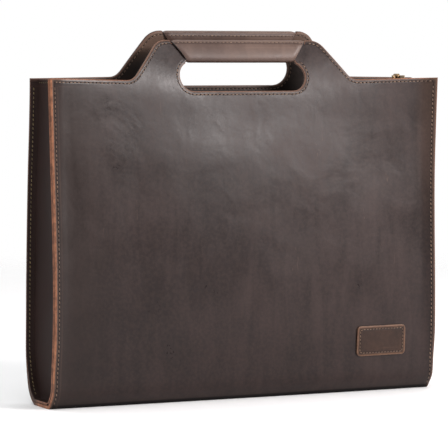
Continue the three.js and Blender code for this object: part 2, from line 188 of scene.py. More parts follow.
@dataclass(frozen=True)
class BagForm:
    """The curved form that every leather sheet lies on.

    A place on it is x across the bag and s along the flat sheet: the height on the front panel,
    then minus the way over the floor, then minus the floor's width and the height on the back.
    """

    width: float = 390
    height: float = 293
    depth: float = 74
    wall: float = 3
    lip_width: float = 14
    lip_flare: float = 5
    flare_power: float = 1.6
    flare_full: float = 0.2
    draw_in: float = 2.2
    right_taper: float = 3.6
    bulge_power: float = 2.3
    horn_margin: float = 6
    horn_base_width: float = 222
    horn_base_radius: float = 13
    slot_length: float = 127
    floor_width: float = 34
    shift_y: float = -2.462
    halvings: int = 24
    slope_step: float = 0.0001
    normal_step: float = 0.002
    normal_reach: float = 1.0
    relief_fade: float = 26

    @property
    def half(self) -> float:
        """Half the width over the side seams."""
        return self.width / 2

    def section_lines(self, x: np.ndarray) -> tuple[np.ndarray, np.ndarray]:
        """The control points of the sections at some places across.

        Args:
            x: Places across the bag.

        Returns:
            Their Y, one row for each place, and their Z, which are the same for all. Both have one
            point more at each end, as the curve's ends ask.
        """
        share = np.minimum(np.abs(x) / self.half, 1)
        blend = (1 - share**self.bulge_power)[:, None]

        def line(panel: Panel) -> tuple[np.ndarray, np.ndarray]:
            """One panel's points, from its horn down to the floor."""
            sides = np.array(panel.sides)
            stand = panel.outward * (sides + (np.array(panel.middles) - sides) * blend) * self.depth / 2
            reach = panel.horn_rise + self.horn_margin
            top = stand[:, :1] - panel.outward * panel.horn_lean * blend * reach / panel.horn_rise
            heights = np.array([self.height + reach, *(h * self.height for h in HEIGHTS)])
            return np.hstack([top, stand]), heights

        front_y, front_z = line(FRONT)
        back_y, back_z = line(BACK)
        y = np.hstack([front_y, back_y[:, ::-1]])
        z = np.hstack([front_z, back_z[::-1]])
        y = np.hstack([2 * y[:, :1] - y[:, 1:2], y, 2 * y[:, -1:] - y[:, -2:-1]])
        z = np.hstack([2 * z[:1] - z[1:2], z, 2 * z[-1:] - z[-2:-1]])
        return y, z

    @staticmethod
    def along_section(y: np.ndarray, z: np.ndarray, t: np.ndarray) -> tuple[np.ndarray, np.ndarray]:
        """Centripetal curves through control points.

        Args:
            y: Y of the points, one row for each curve.
            z: Z of the points.
            t: Where each curve is read, from 0 to 1.

        Returns:
            Y and Z there.
        """
        spans = len(z) - 3
        place = np.clip(t, 0, 1) * spans
        low = np.minimum(place.astype(int), spans - 1)
        weight = place - low
        rows = np.arange(len(t))
        points = [(y[rows, low + k], z[low + k]) for k in range(4)]
        gaps = [
            ((points[k + 1][0] - points[k][0]) ** 2 + (points[k + 1][1] - points[k][1]) ** 2) ** 0.25
            for k in range(3)
        ]
        result = []
        for axis in range(2):
            p0, p1, p2, p3 = (point[axis] for point in points)
            start = (p1 - p0) / gaps[0] - (p2 - p0) / (gaps[0] + gaps[1]) + (p2 - p1) / gaps[1]
            end = (p2 - p1) / gaps[1] - (p3 - p1) / (gaps[1] + gaps[2]) + (p3 - p2) / gaps[2]
            start, end = start * gaps[1], end * gaps[1]
            square = -3 * p1 + 3 * p2 - 2 * start - end
            cube = 2 * p1 - 2 * p2 + start + end
            result.append(p1 + weight * (start + weight * (square + weight * cube)))
        return result[0], result[1]

    def surface(self, x: np.ndarray, t: np.ndarray, lines: tuple[np.ndarray, np.ndarray]) -> np.ndarray:
        """The outer face.

        Args:
            x: Places across.
            t: Shares of the section, from the front's top to the back's.
            lines: Control points for those places across.

        Returns:
            Points in the row frame.
        """
        y, z = self.along_section(*lines, t)
        y_on, z_on = self.along_section(*lines, t + self.slope_step)
        y_off, z_off = self.along_section(*lines, t - self.slope_step)
        length = np.hypot(y_on - y_off, z_on - z_off) + TINY
        share = z / self.height
        across = np.clip((np.abs(x) - self.half + self.lip_width) / self.lip_width, 0, 1)
        flare = self.lip_flare * across**self.flare_power * eased(share / self.flare_full)
        taper = np.where(x > 0, self.right_taper * np.clip(1 - share, 0, 1), 0)
        drawn = self.draw_in * np.sin(np.pi * np.clip(share, 0, 1)) + taper
        return np.column_stack([
            x * (1 - drawn / self.half),
            y + flare * (z_on - z_off) / length + self.shift_y,
            np.maximum(0, z - flare * (y_on - y_off) / length),
        ])

    def share_at(self, x: np.ndarray, s: np.ndarray) -> np.ndarray:
        """Turns places along the flat sheet into shares of the section.

        Args:
            x: Places across.
            s: Places along the sheet.

        Returns:
            Shares of the section.
        """
        lines = self.section_lines(x)
        front = s >= 0
        height = np.where(front, s, -s - self.floor_width)
        high = np.where(front, 0.0, 1.0)
        low = np.full(len(s), 0.5)
        for _ in range(self.halvings):
            middle = (high + low) / 2
            above = self.surface(x, middle, lines)[:, 2] > height
            high = np.where(above, middle, high)
            low = np.where(above, low, middle)
        found = (high + low) / 2
        rows = len(HEIGHTS)
        floor_front, floor_back = rows / (2 * rows + 1), (rows + 1) / (2 * rows + 1)
        way = np.clip(-s / self.floor_width, 0, 1)
        on_floor = (s < 0) & (s > -self.floor_width)
        return np.where(on_floor, floor_front + (floor_back - floor_front) * way, found)

    def relief(self, x: np.ndarray, s: np.ndarray) -> np.ndarray:
        """The height of the soft dents, which fade towards every edge and the floor.

        Args:
            x: Places across.
            s: Places along the sheet.

        Returns:
            Heights over the plain form.
        """
        height = np.where(s >= 0, s, -s - self.floor_width)
        total = np.zeros(len(x))
        for dent in DENTS:
            away_z = height - dent.z
            away_x = x - dent.x - dent.slant * away_z / dent.reach_z
            swell = dent.height * np.exp(-((away_x / dent.reach_x) ** 2) - (away_z / dent.reach_z) ** 2)
            total += np.where((s >= 0) == (dent.panel is FRONT), swell, 0)
        edge = np.minimum(self.half - np.abs(x), np.minimum(height, self.height - height))
        return total * eased(edge / self.relief_fade)

    def shell(self, x: np.ndarray, t: np.ndarray) -> tuple[np.ndarray, np.ndarray]:
        """The outer face without its dents.

        Args:
            x: Places across.
            t: Shares of the section.

        Returns:
            The points and the outward normals there.
        """
        lines = self.section_lines(x)
        ahead = self.surface(x, np.minimum(t + self.normal_step, 1), lines)
        behind = self.surface(x, np.maximum(t - self.normal_step, 0), lines)
        right = self.surface(x + self.normal_reach, t, self.section_lines(x + self.normal_reach))
        left = self.surface(x - self.normal_reach, t, self.section_lines(x - self.normal_reach))
        return self.surface(x, t, lines), unit_rows(np.cross(ahead - behind, right - left))

    def place(
        self, x: np.ndarray, s: np.ndarray, depth: float | np.ndarray = 0
    ) -> tuple[np.ndarray, np.ndarray]:
        """Drapes flat places on the form.

        Args:
            x: Places across.
            s: Places along the sheet.
            depth: How deep the points lie under the outer face.

        Returns:
            The points in the row frame, in millimetres, and the outward normals there.
        """
        x = np.asarray(x, float)
        s = np.asarray(s, float)
        point, normal = self.shell(x, self.share_at(x, s))
        offset = self.relief(x, s) - np.asarray(depth, float)
        return point + normal * np.reshape(offset, (-1, 1)), normal

    def flat(self, panel: Panel, height: float | np.ndarray) -> float | np.ndarray:
        """A height on a panel as a place along the flat sheet.

        Args:
            panel: The panel.
            height: Heights above the floor.

        Returns:
            Places along the sheet.
        """
        return height if panel is FRONT else -np.asarray(height) - self.floor_width

    def height_on(self, panel: Panel, s: float | np.ndarray) -> float | np.ndarray:
        """A place along the flat sheet as a height on a panel."""
        return s if panel is FRONT else -s - self.floor_width

    def mouth_centre(self, x: np.ndarray, level: float) -> np.ndarray:
        """Half way between the panels' inner faces.

        Args:
            x: Places across.
            level: The height.

        Returns:
            Y of the middle of the mouth.
        """
        level_row = np.full(len(x), level)
        front, _ = self.place(x, self.flat(FRONT, level_row), self.wall)
        back, _ = self.place(x, self.flat(BACK, level_row), self.wall)
        return (front[:, 1] + back[:, 1]) / 2


FORM = BagForm()


# Flat outlines


def rounded(corners: Sequence[tuple[float, float, float]], closed: bool, steps: int = 14) -> np.ndarray:
    """A line through corners, each rounded by an arc.

    Args:
        corners: X, height and radius of each corner.
        closed: Whether the line comes back to its start.
        steps: Points of each arc.

    Returns:
        The line's points, one row each.
    """
    points: list[np.ndarray] = []
    count = len(corners)
    for index, (x, z, radius) in enumerate(corners):
        here = np.array([x, z], float)
        inner = closed or 0 < index < count - 1
        if not radius or not inner:
            points.append(here)
            continue
        back = np.array(corners[index - 1][:2]) - here
        ahead = np.array(corners[(index + 1) % count][:2]) - here
        back = back / np.linalg.norm(back)
        ahead = ahead / np.linalg.norm(ahead)
        half_angle = math.acos(float(np.clip(back @ ahead, -1, 1))) / 2
        bisector = (back + ahead) / np.linalg.norm(back + ahead)
        centre = here + bisector * radius / math.sin(half_angle)
        start = here + back * radius / math.tan(half_angle) - centre
        end = here + ahead * radius / math.tan(half_angle) - centre
        turn = math.atan2(start[0] * end[1] - start[1] * end[0], start @ end)
        for step in range(steps + 1):
            angle = turn * step / steps
            cos, sin = math.cos(angle), math.sin(angle)
            spoke = [start[0] * cos - start[1] * sin, start[0] * sin + start[1] * cos]
            points.append(centre + np.array(spoke))
    return np.array(points)


def moved_line(line: np.ndarray, inset: float) -> np.ndarray:
    """A copy of an open line, moved to its right-hand side.

    Args:
        line: The points.
        inset: How far it moves.

    Returns:
        The moved points.
    """
    along = np.gradient(line, axis=0)
    along /= np.linalg.norm(along, axis=1)[:, None] + TINY
    return line + np.column_stack([along[:, 1], -along[:, 0]]) * inset


def resampled(line: np.ndarray, pitch: float) -> np.ndarray:
    """Even points along a line.

    Args:
        line: The points of the line.
        pitch: The wanted distance between neighbours.

    Returns:
        Points with one even distance, close to the pitch.
    """
    lengths = travel_along(line)
    count = max(1, round(lengths[-1] / pitch))
    places = np.linspace(0, lengths[-1], count + 1)
    return np.column_stack([np.interp(places, lengths, line[:, axis]) for axis in range(line.shape[1])])


def distance_to_line(
    points: np.ndarray, line: np.ndarray, pitch: float = 1.0, batch: int = 2000
) -> np.ndarray:
    """How far points lie from a line.

    Args:
        points: The points.
        line: The line's points.
        pitch: The distance between the even points that stand for the line.
        batch: How many points are measured at once.

    Returns:
        One distance for each point.
    """
    fine = resampled(line, pitch)
    nearest = np.full(len(points), np.inf)
    for start in range(0, len(points), batch):
        part = points[start : start + batch]
        gaps = np.linalg.norm(part[:, None, :] - fine[None, :, :], axis=2)
        nearest[start : start + batch] = gaps.min(axis=1)
    return nearest


@dataclass(frozen=True)
class PanelOutline:
    """The cut lines of one panel in its flat pattern."""

    panel: Panel

    @property
    def top(self) -> float:
        """The height of the handle's top."""
        return FORM.height + self.panel.horn_rise

    @property
    def roof(self) -> float:
        """The height of the hand slot's upper side."""
        return FORM.height + self.panel.slot_roof

    @property
    def floor(self) -> float:
        """The height of the hand slot's lower side."""
        return FORM.height + self.panel.slot_floor

    def top_line(self) -> np.ndarray:
        """The panel's upper edge, from left to right."""
        half, base = FORM.half, FORM.horn_base_width / 2
        edge = FORM.height - self.panel.edge_sag
        shoulder = (edge, FORM.horn_base_radius)
        crown = (self.top, self.panel.horn_corner_radius)
        middle = self.panel.horn_top_width / 2
        return rounded(
            [
                (-half, FORM.height, 0),
                (-base, *shoulder),
                (-middle, *crown),
                (middle, *crown),
                (base, *shoulder),
                (half, FORM.height, 0),
            ],
            closed=False,
        )

    def top_at(self, x: np.ndarray) -> np.ndarray:
        """The height of the upper edge at places across."""
        line = self.top_line()
        return np.interp(x, line[:, 0], line[:, 1])

    @property
    def slot_radius(self) -> float:
        """The radius of the hand slot's ends."""
        return (self.roof - self.floor) / 2

    @property
    def slot_centre(self) -> float:
        """The height of the slot's middle."""
        return (self.roof + self.floor) / 2

    @property
    def slot_reach(self) -> float:
        """How far from the middle the slot's round ends start."""
        return FORM.slot_length / 2 - self.slot_radius

    def slot_core(self, x: np.ndarray) -> np.ndarray:
        """The points of the slot's middle line that lie nearest to places across."""
        across = np.clip(x, -self.slot_reach, self.slot_reach)
        return np.column_stack([across, np.full(len(x), self.slot_centre)])

    def onto_slot(self, x: np.ndarray, z: np.ndarray) -> np.ndarray:
        """Moves points straight onto the slot's line.

        Args:
            x: Places across.
            z: Heights.

        Returns:
            The moved points.
        """
        core = self.slot_core(x)
        away = np.column_stack([x, z]) - core
        away /= np.linalg.norm(away, axis=1)[:, None] + TINY
        return core + away * self.slot_radius

    def slot_distance(self, x: np.ndarray, z: np.ndarray) -> np.ndarray:
        """How far points lie outside the slot."""
        return np.linalg.norm(np.column_stack([x, z]) - self.slot_core(x), axis=1) - self.slot_radius

    def slot_line(self, outset: float, arc_points: int = 40) -> np.ndarray:
        """The closed line round the slot, from the middle of its roof and anticlockwise.

        Args:
            outset: How far outside the slot the line lies.
            arc_points: Points of each round end.

        Returns:
            The line's points.
        """
        radius = self.slot_radius + outset
        angles = np.linspace(math.pi / 2, 3 * math.pi / 2, arc_points)
        across = -self.slot_reach + radius * np.cos(angles)
        left = np.column_stack([across, self.slot_centre + radius * np.sin(angles)])
        right = left[::-1] * [-1, 1]
        start = np.array([[0, self.slot_centre + radius]])
        return np.vstack([start, left, right, start])


# Shaders


class Wire:
    """A shader socket that takes part in sums, as a number would."""

    def __init__(self, tree: "ShaderTree", socket: bpy.types.NodeSocket) -> None:
        """Keeps the socket and the tree that it belongs to.

        Args:
            tree: The tree.
            socket: An output socket.
        """
        self.tree = tree
        self.socket = socket

    def _math(self, operation: str, first: "Wire | float", second: "Wire | float") -> "Wire":
        """One Math node.

        Args:
            operation: The node's operation.
            first: The first value.
            second: The second value.

        Returns:
            The node's result.
        """
        node = self.tree.node("ShaderNodeMath", {"operation": operation}, {0: first, 1: second})
        return Wire(self.tree, node.outputs[0])

    def __add__(self, other: "Wire | float") -> "Wire":
        """The sum."""
        return self._math("ADD", self, other)

    __radd__ = __add__

    def __mul__(self, other: "Wire | float") -> "Wire":
        """The product."""
        return self._math("MULTIPLY", self, other)

    __rmul__ = __mul__

    def __sub__(self, other: "Wire | float") -> "Wire":
        """The difference."""
        return self._math("SUBTRACT", self, other)

    def __rsub__(self, other: "Wire | float") -> "Wire":
        """The difference the other way round."""
        return self._math("SUBTRACT", other, self)

    def higher_of(self, other: "Wire | float") -> "Wire":
        """The larger of two values."""
        return self._math("MAXIMUM", self, other)

    def size(self) -> "Wire":
        """The value without its sign."""
        return self._math("ABSOLUTE", self, 0.0)

    def wave(self) -> "Wire":
        """The sine."""
        return self._math("SINE", self, 0.0)

    def step(self, low: float, high: float) -> "Wire":
        """A smooth step, which is 0 below low and 1 above high, or falls where low is above high.

        Args:
            low: Where the step starts.
            high: Where it ends.

        Returns:
            The step.
        """
        settings = {"interpolation_type": "SMOOTHSTEP"}
        rising = low < high
        ends = {"From Min": min(low, high), "From Max": max(low, high)}
        ends.update({"To Min": 0.0 if rising else 1.0, "To Max": 1.0 if rising else 0.0})
        node = self.tree.node("ShaderNodeMapRange", settings, {"Value": self, **ends})
        return Wire(self.tree, node.outputs[0])

    def ridge(self, centre: float, reach: float) -> "Wire":
        """A smooth bump of 1 round a value.

        Args:
            centre: Where the bump is highest.
            reach: How far off it ends.

        Returns:
            The bump.
        """
        return (self - centre).size().step(reach, 0.0)


Colour = tuple[float, float, float]


def linear(red: int, green: int, blue: int) -> Colour:
    """A screen colour as linear light.

    Args:
        red: Red, from 0 to 255.
        green: Green.
        blue: Blue.

    Returns:
        The linear colour.
    """
    shares = [channel / 255 for channel in (red, green, blue)]
    light = [share / 12.92 if share < 0.04045 else ((share + 0.055) / 1.055) ** 2.4 for share in shares]
    return (light[0], light[1], light[2])


class ShaderTree:
    """The nodes of a material or a world."""

    def __init__(self, owner: "bpy.types.Material | bpy.types.World", coordinates: str = "Object") -> None:
        """Turns on the owner's nodes.

        Args:
            owner: The material or the world.
            coordinates: The coordinates that its patterns follow.
        """
        owner.use_nodes = True
        self.nodes = owner.node_tree.nodes
        self.links = owner.node_tree.links
        self.place = Wire(self, self.node("ShaderNodeTexCoord", {}, {}).outputs[coordinates])

    def node(
        self, kind: str, settings: dict[str, object], sockets: dict[str | int, object]
    ) -> bpy.types.Node:
        """Adds a node.

        Args:
            kind: The node's type.
            settings: Its properties, set first.
            sockets: Values or wires for its inputs.

        Returns:
            The node.
        """
        node = self.nodes.new(kind)
        for key, value in settings.items():
            setattr(node, key, value)
        for key, value in sockets.items():
            self.feed(node.inputs[key], value)
        return node

    def feed(self, socket: bpy.types.NodeSocket, value: object) -> None:
        """Sets or links one input.

        Args:
            socket: The input.
            value: A wire, a number or a colour.
        """
        if isinstance(value, Wire):
            self.links.new(value.socket, socket)
        elif isinstance(value, tuple) and len(socket.default_value) == 4:
            socket.default_value = (*value, 1.0)
        else:
            socket.default_value = value

    def axis(self, name: str) -> Wire:
        """One of the place's three coordinates."""
        return Wire(self, self.node("ShaderNodeSeparateXYZ", {}, {"Vector": self.place}).outputs[name])

    def attribute(self, name: str) -> Wire:
        """A number that the mesh carries at its points."""
        return Wire(self, self.node("ShaderNodeAttribute", {"attribute_name": name}, {}).outputs["Fac"])

    def noise(
        self,
        size: float,
        detail: float = 3.0,
        roughness: float = 0.5,
        distortion: float = 0.0,
        stretch: tuple[float, float, float] = (1.0, 1.0, 1.0),
        offset: tuple[float, float, float] = (0.0, 0.0, 0.0),
    ) -> Wire:
        """Cloudy noise in the object's own space.

        Args:
            size: The size of one cloud, in metres.
            detail: How many finer layers it has.
            roughness: How strong they are.
            distortion: How much they twist.
            stretch: How many times longer a cloud is along each axis.
            offset: Moves the pattern.

        Returns:
            A value round 0.5.
        """
        scale = tuple(1 / way for way in stretch)
        moved = {"Vector": self.place, "Scale": scale, "Location": offset}
        mapping = self.node("ShaderNodeMapping", {}, moved)
        values = {
            "Vector": Wire(self, mapping.outputs[0]),
            "Scale": 1 / size,
            "Detail": detail,
            "Roughness": roughness,
            "Distortion": distortion,
        }
        return Wire(self, self.node("ShaderNodeTexNoise", {}, values).outputs["Fac"])

    def mix(self, factor: Wire | float, first: Wire | Colour, second: Wire | Colour) -> Wire:
        """Mixes two colours.

        Args:
            factor: 0 for the first and 1 for the second.
            first: A colour.
            second: A colour.

        Returns:
            The mixed colour.
        """
        node = self.node("ShaderNodeMix", {"data_type": "RGBA"}, {0: factor, 6: first, 7: second})
        return Wire(self, node.outputs[2])

    def bump(
        self, height: Wire, distance: float, strength: float = 1.0, below: Wire | None = None
    ) -> Wire:
        """Turns a height into a normal.

        Args:
            height: The height, as a share of the distance.
            distance: The height of 1, in metres.
            strength: How much of it shows.
            below: A normal that this one starts from.

        Returns:
            The normal.
        """
        values: dict[str | int, object] = {"Height": height, "Distance": distance, "Strength": strength}
        if below is not None:
            values["Normal"] = below
        return Wire(self, self.node("ShaderNodeBump", {}, values).outputs[0])


class MaterialTree(ShaderTree):
    """The nodes of one material with a Principled shader."""

    def __init__(self, name: str) -> None:
        """Makes the material.

        Args:
            name: The material's name.
        """
        self.material = bpy.data.materials.new(name)
        super().__init__(self.material)

    def dress(self, values: dict[str, object]) -> bpy.types.Material:
        """Feeds the shader and gives the material.

        Args:
            values: Values or wires by the names of the shader's inputs.

        Returns:
            The material.
        """
        shader = self.nodes["Principled BSDF"]
        for key, value in values.items():
            self.feed(shader.inputs[key], value)
        return self.material


# Where light and shade are painted into the leather: light above the mouth, shade on the left side, light
# at the top of the right side, a contact shadow at the foot and shade under a sleeve.
MOUTH_LIGHT_HEIGHTS: Span = (0.302, 0.326)
LEFT_SHADE_ACROSS: Span = (-0.125, -0.175)
RIGHT_LIGHT_ACROSS: Span = (0.17, 0.188)
RIGHT_LIGHT_HEIGHTS: Span = (0.12, 0.26)
FOOT_SHADOW_HEIGHTS: Span = (0.0044, 0.0024)
SLEEVE_UNDERSIDE_SHADE: Span = (14.0, 20.5)
BURNISHED_MIDDLE: Span = (0.125, 0.105)
STAINED_BACK: Span = (0.002, 0.012)
STAINED_RIGHT: Span = (0.182, 0.191)


@dataclass(frozen=True)
class Leather:
    """Oiled leather: soft clouds of colour, fine grain, edges worn lighter and a sunk stitch line.

    One share paints light on the faces above the mouth, over the painted shade of the darker inner
    faces below it. Another paints shade on the left side, a contact shadow at the foot and light at
    the top of the right side. A third paints shade on the lower side of a sleeve.
    """

    name: str
    dark: Colour
    light: Colour
    rubbed_and_lit: Colour
    stain_and_shade: Colour
    # The colour of the painted contact shadow at the foot.
    soil_and_shadow: Colour = (0.001, 0.001, 0.001)
    cloud: float = 0.05
    roughness: float = 0.5
    shine: float = 0.5
    grain: float = 0.00006
    stitch_inset: float = 3.2
    stitch_reach: float = 1.0
    crease_inset: float = 6.8
    crease_reach: float = 1.1
    edge_rub: float = 0.5
    edge_ragged: float = 2.4
    # Shares of painted light and shade: above the mouth, at the sides and the foot, and under a sleeve.
    lit_above_mouth: float = 0.0
    painted_shading: float = 0.0
    right_light: float = 0.18
    left_shade: float = 0.6
    lower: float = 0.0
    wave_size: float = 0.036
    wave_height: float = 0.002
    seed: float = 0.0

    def wear(self, tree: MaterialTree, body: Wire, edge: Wire) -> Wire:
        """Adds painted light and shade to the leather's colour.

        It paints light above the mouth, shade on the left side, light at the top of the right side, a
        contact shadow at the foot and shade under a sleeve.

        Args:
            tree: The material's nodes.
            body: The colour of the new leather.
            edge: The distance from the cut edge.

        Returns:
            The colour with the painted light and shade.
        """
        # Painted light above the mouth, over the painted shade of the darker inner faces below it.
        if self.lit_above_mouth:
            body = tree.mix(tree.axis("Z").step(*MOUTH_LIGHT_HEIGHTS) * self.lit_above_mouth, body, self.rubbed_and_lit)
        # Painted light at the top of the right side, painted shade on the left side and a painted contact
        # shadow at the foot.
        if self.painted_shading:
            across, up = tree.axis("X"), tree.axis("Z")
            lit_right = across.step(*RIGHT_LIGHT_ACROSS) * up.step(*RIGHT_LIGHT_HEIGHTS)
            body = tree.mix(lit_right * (self.painted_shading * self.right_light), body, self.rubbed_and_lit)
            body = tree.mix(across.step(*LEFT_SHADE_ACROSS) * (self.painted_shading * self.left_shade), body, self.stain_and_shade)
            body = tree.mix(up.step(*FOOT_SHADOW_HEIGHTS) * self.painted_shading, body, self.soil_and_shadow)
        # Painted shade on the lower side of a sleeve.
        if self.lower:
            body = tree.mix(edge.step(*SLEEVE_UNDERSIDE_SHADE) * self.lower, body, self.stain_and_shade)
        return body

    def material(self) -> bpy.types.Material:
        """Makes the material."""
        tree = MaterialTree(self.name)
        offset = (self.seed, self.seed * 0.7, self.seed * 0.3)
        edge = tree.attribute(EDGE_LAYER)
        clouds = tree.noise(self.cloud, detail=4, distortion=0.1, offset=offset)
        patches = tree.noise(self.cloud * 2.6, 2, distortion=0.3, stretch=(1.0, 1.0, 1.8), offset=offset)
        streaks = tree.noise(0.012, 3, 0.55, distortion=0.8, stretch=(1.0, 1.0, 6.0), offset=offset)
        scratches = tree.noise(0.004, 2, distortion=1.8, stretch=(1.0, 1.0, 11.0), offset=offset)
        fibre = tree.noise(0.003, roughness=0.6, offset=offset)
        pores = tree.noise(0.0008, detail=2, roughness=0.6, offset=offset)
        waves = tree.noise(self.wave_size, roughness=0.45, distortion=0.4, offset=offset)
        tone = clouds * 0.3 + patches * 0.45 + streaks * 0.25
        marks = scratches.step(0.7, 0.75) * clouds.step(0.5, 0.6)
        body = tree.mix(tone.step(0.36, 0.64), self.dark, self.light)
        body = tree.mix(fibre.step(0.35, 0.7) * 0.05, body, self.rubbed_and_lit)
        body = self.wear(tree, tree.mix(marks * 0.16, body, self.rubbed_and_lit), edge)
        rub = (edge + (fibre - 0.5) * self.edge_ragged).step(2.8, 0.3)
        groove = edge.ridge(self.stitch_inset, self.stitch_reach)
        crease = edge.ridge(self.crease_inset, self.crease_reach) * patches.step(0.46, 0.6)
        body = tree.mix(rub * self.edge_rub, body, self.rubbed_and_lit)
        body = tree.mix(groove * 0.6, body, self.stain_and_shade)
        body = tree.mix(crease * 0.12, body, self.rubbed_and_lit)
        coarse = tree.bump(waves, self.wave_height, 0.32)
        fine = tree.bump(pores * 0.4 + fibre * 0.6 - groove * 2.4, self.grain, 0.8, coarse)
        gloss = (clouds - 0.5) * 0.34 + (fibre - 0.5) * 0.1 + (streaks - 0.5) * 0.12 + self.roughness
        # The painted contact shadow at the foot is made rough as well, so it reflects nothing.
        if self.painted_shading:
            gloss = gloss + tree.axis("Z").step(*FOOT_SHADOW_HEIGHTS) * 0.6
        return tree.dress({
            "Base Color": body,
            "Roughness": gloss,
            "Normal": fine,
            "Specular IOR Level": self.shine,
        })


@dataclass(frozen=True)
class RawEdge:
    """The cut edge of one or more glued leather layers, polished with wax."""

    name: str
    light: Colour
    dark: Colour
    layers: int = 2
    roughness: float = 0.5
    burnished: Colour | None = None
    stained: Colour | None = None

    def material(self) -> bpy.types.Material:
        """Makes the material, which may be burnished in the bag's middle and stained at back and right."""
        tree = MaterialTree(self.name)
        depth = tree.attribute(DEPTH_LAYER)
        streaks = tree.noise(0.006, detail=4, roughness=0.6, distortion=0.5)
        fibre = tree.noise(0.0008, roughness=0.6)
        body = tree.mix(streaks.step(0.35, 0.68), self.dark, self.light)
        if self.burnished:
            body = tree.mix(tree.axis("X").size().step(*BURNISHED_MIDDLE) * 0.85, body, self.burnished)
        if self.stained:
            body = tree.mix(tree.axis("Y").step(*STAINED_BACK) * 0.85, body, self.stained)
            body = tree.mix(tree.axis("X").step(*STAINED_RIGHT) * 0.75, body, self.stained)
        skins = (depth - 0.5).size().step(0.36, 0.47)
        joints = (depth * (math.pi * self.layers)).wave().size().step(0.28, 0.0)
        body = tree.mix(joints.higher_of(skins) * 0.55, body, self.dark)
        height = fibre * 0.5 + streaks * 0.5 - joints
        return tree.dress({
            "Base Color": body,
            "Roughness": (fibre - 0.5) * 0.2 + self.roughness,
            "Normal": tree.bump(height, 0.0001, 0.7),
        })


@dataclass(frozen=True)
class Thread:
    """Waxed twisted thread."""

    name: str
    colour: Colour
    shade: Colour
    roughness: float = 0.55

    def material(self) -> bpy.types.Material:
        """Makes the material."""
        tree = MaterialTree(self.name)
        wear = tree.noise(0.012, roughness=0.6)
        twist = tree.noise(0.0005, detail=2)
        body = tree.mix(wear.step(0.35, 0.7), self.shade, self.colour)
        body = tree.mix(twist.step(0.45, 0.6) * 0.3, body, self.shade)
        return tree.dress({
            "Base Color": body,
            "Roughness": (wear - 0.5) * 0.2 + self.roughness,
            "Normal": tree.bump(twist, 0.0001, 0.6),
        })


@dataclass(frozen=True)
class HoleShade:
    """The dark mouth of a stitch hole, a painted shade that stands for the hole's depth."""

    name: str
    colour: Colour

    def material(self) -> bpy.types.Material:
        """Makes the material."""
        tree = MaterialTree(self.name)
        wear = tree.noise(0.01, roughness=0.6)
        lighter = tuple(channel * 1.9 for channel in self.colour)
        return tree.dress({
            "Base Color": tree.mix(wear.step(0.35, 0.7), self.colour, lighter),
            "Roughness": (wear - 0.5) * 0.1 + 0.85,
            "Specular IOR Level": 0.2,
        })


@dataclass(frozen=True)
class WovenTape:
    """Herringbone tape of a zip."""

    name: str
    colour: Colour
    shade: Colour
    thread: float = 0.6

    def material(self) -> bpy.types.Material:
        """Makes the material."""
        tree = MaterialTree(self.name)
        along = tree.attribute(LENGTH_LAYER)
        across = tree.attribute(ACROSS_LAYER)
        turn = 2 * math.pi / self.thread
        weave = ((along + across.size()) * turn).wave() * 0.5 + 0.5
        rib = (across * (turn * 0.5)).wave() * 0.5 + 0.5
        soil_and_shadow = tree.noise(0.01, roughness=0.6)
        body = tree.mix(weave * 0.5 + rib * 0.2, self.shade, self.colour)
        body = tree.mix(soil_and_shadow.step(0.45, 0.75) * 0.4, body, self.shade)
        return tree.dress({
            "Base Color": body,
            "Roughness": (soil_and_shadow - 0.5) * 0.1 + 0.9,
            "Normal": tree.bump(weave * 0.7 + rib * 0.3, 0.0002, 0.8),
            "Sheen Weight": 0.2,
        })


@dataclass(frozen=True)
class AgedMetal:
    """Dark plated metal, worn bright on its high places."""

    name: str
    colour: Colour
    worn: Colour
    roughness: float = 0.35

    def material(self) -> bpy.types.Material:
        """Makes the material."""
        tree = MaterialTree(self.name)
        wear = tree.noise(0.003, detail=4, roughness=0.65)
        grain = tree.noise(0.0004, detail=2)
        body = tree.mix(wear.step(0.5, 0.66), self.colour, self.worn)
        return tree.dress({
            "Base Color": body,
            "Metallic": wear.step(0.3, 0.4) * 0.2 + 0.8,
            "Roughness": (wear - 0.5) * 0.3 + self.roughness,
            "Normal": tree.bump(grain, 0.00003, 0.5),
        })


# A dark colour for the stitch groove, also used for painted shade.
STAIN_AND_SHADE = linear(26, 15, 10)
# The outer face, painted darker on its left side, lighter at the top of its right side and with a contact
# shadow at its foot.
WRAP_LEATHER = Leather(
    "wrap_outer",
    dark=linear(29, 19, 18),
    light=linear(48, 35, 33),
    rubbed_and_lit=linear(112, 88, 74),
    stain_and_shade=STAIN_AND_SHADE,
    roughness=0.36,
    shine=0.26,
    painted_shading=0.9,
    seed=0.31,
)
# The inner faces: the wrap's own leather, painted darker as shade inside the bag, with painted light above
# the mouth.
SHADED_LINING_LEATHER = Leather(
    "wrap_inner",
    dark=linear(25, 18, 16),
    light=linear(38, 28, 25),
    rubbed_and_lit=linear(112, 88, 74),
    stain_and_shade=STAIN_AND_SHADE,
    roughness=0.5,
    shine=0.4,
    lit_above_mouth=0.6,
    seed=1.7,
)
GUSSET_LEATHER = Leather(
    "gusset_face",
    dark=linear(33, 22, 20),
    light=linear(44, 31, 29),
    rubbed_and_lit=linear(84, 58, 44),
    stain_and_shade=STAIN_AND_SHADE,
    roughness=0.6,
    shine=0.1,
    edge_rub=0.2,
    seed=2.3,
)
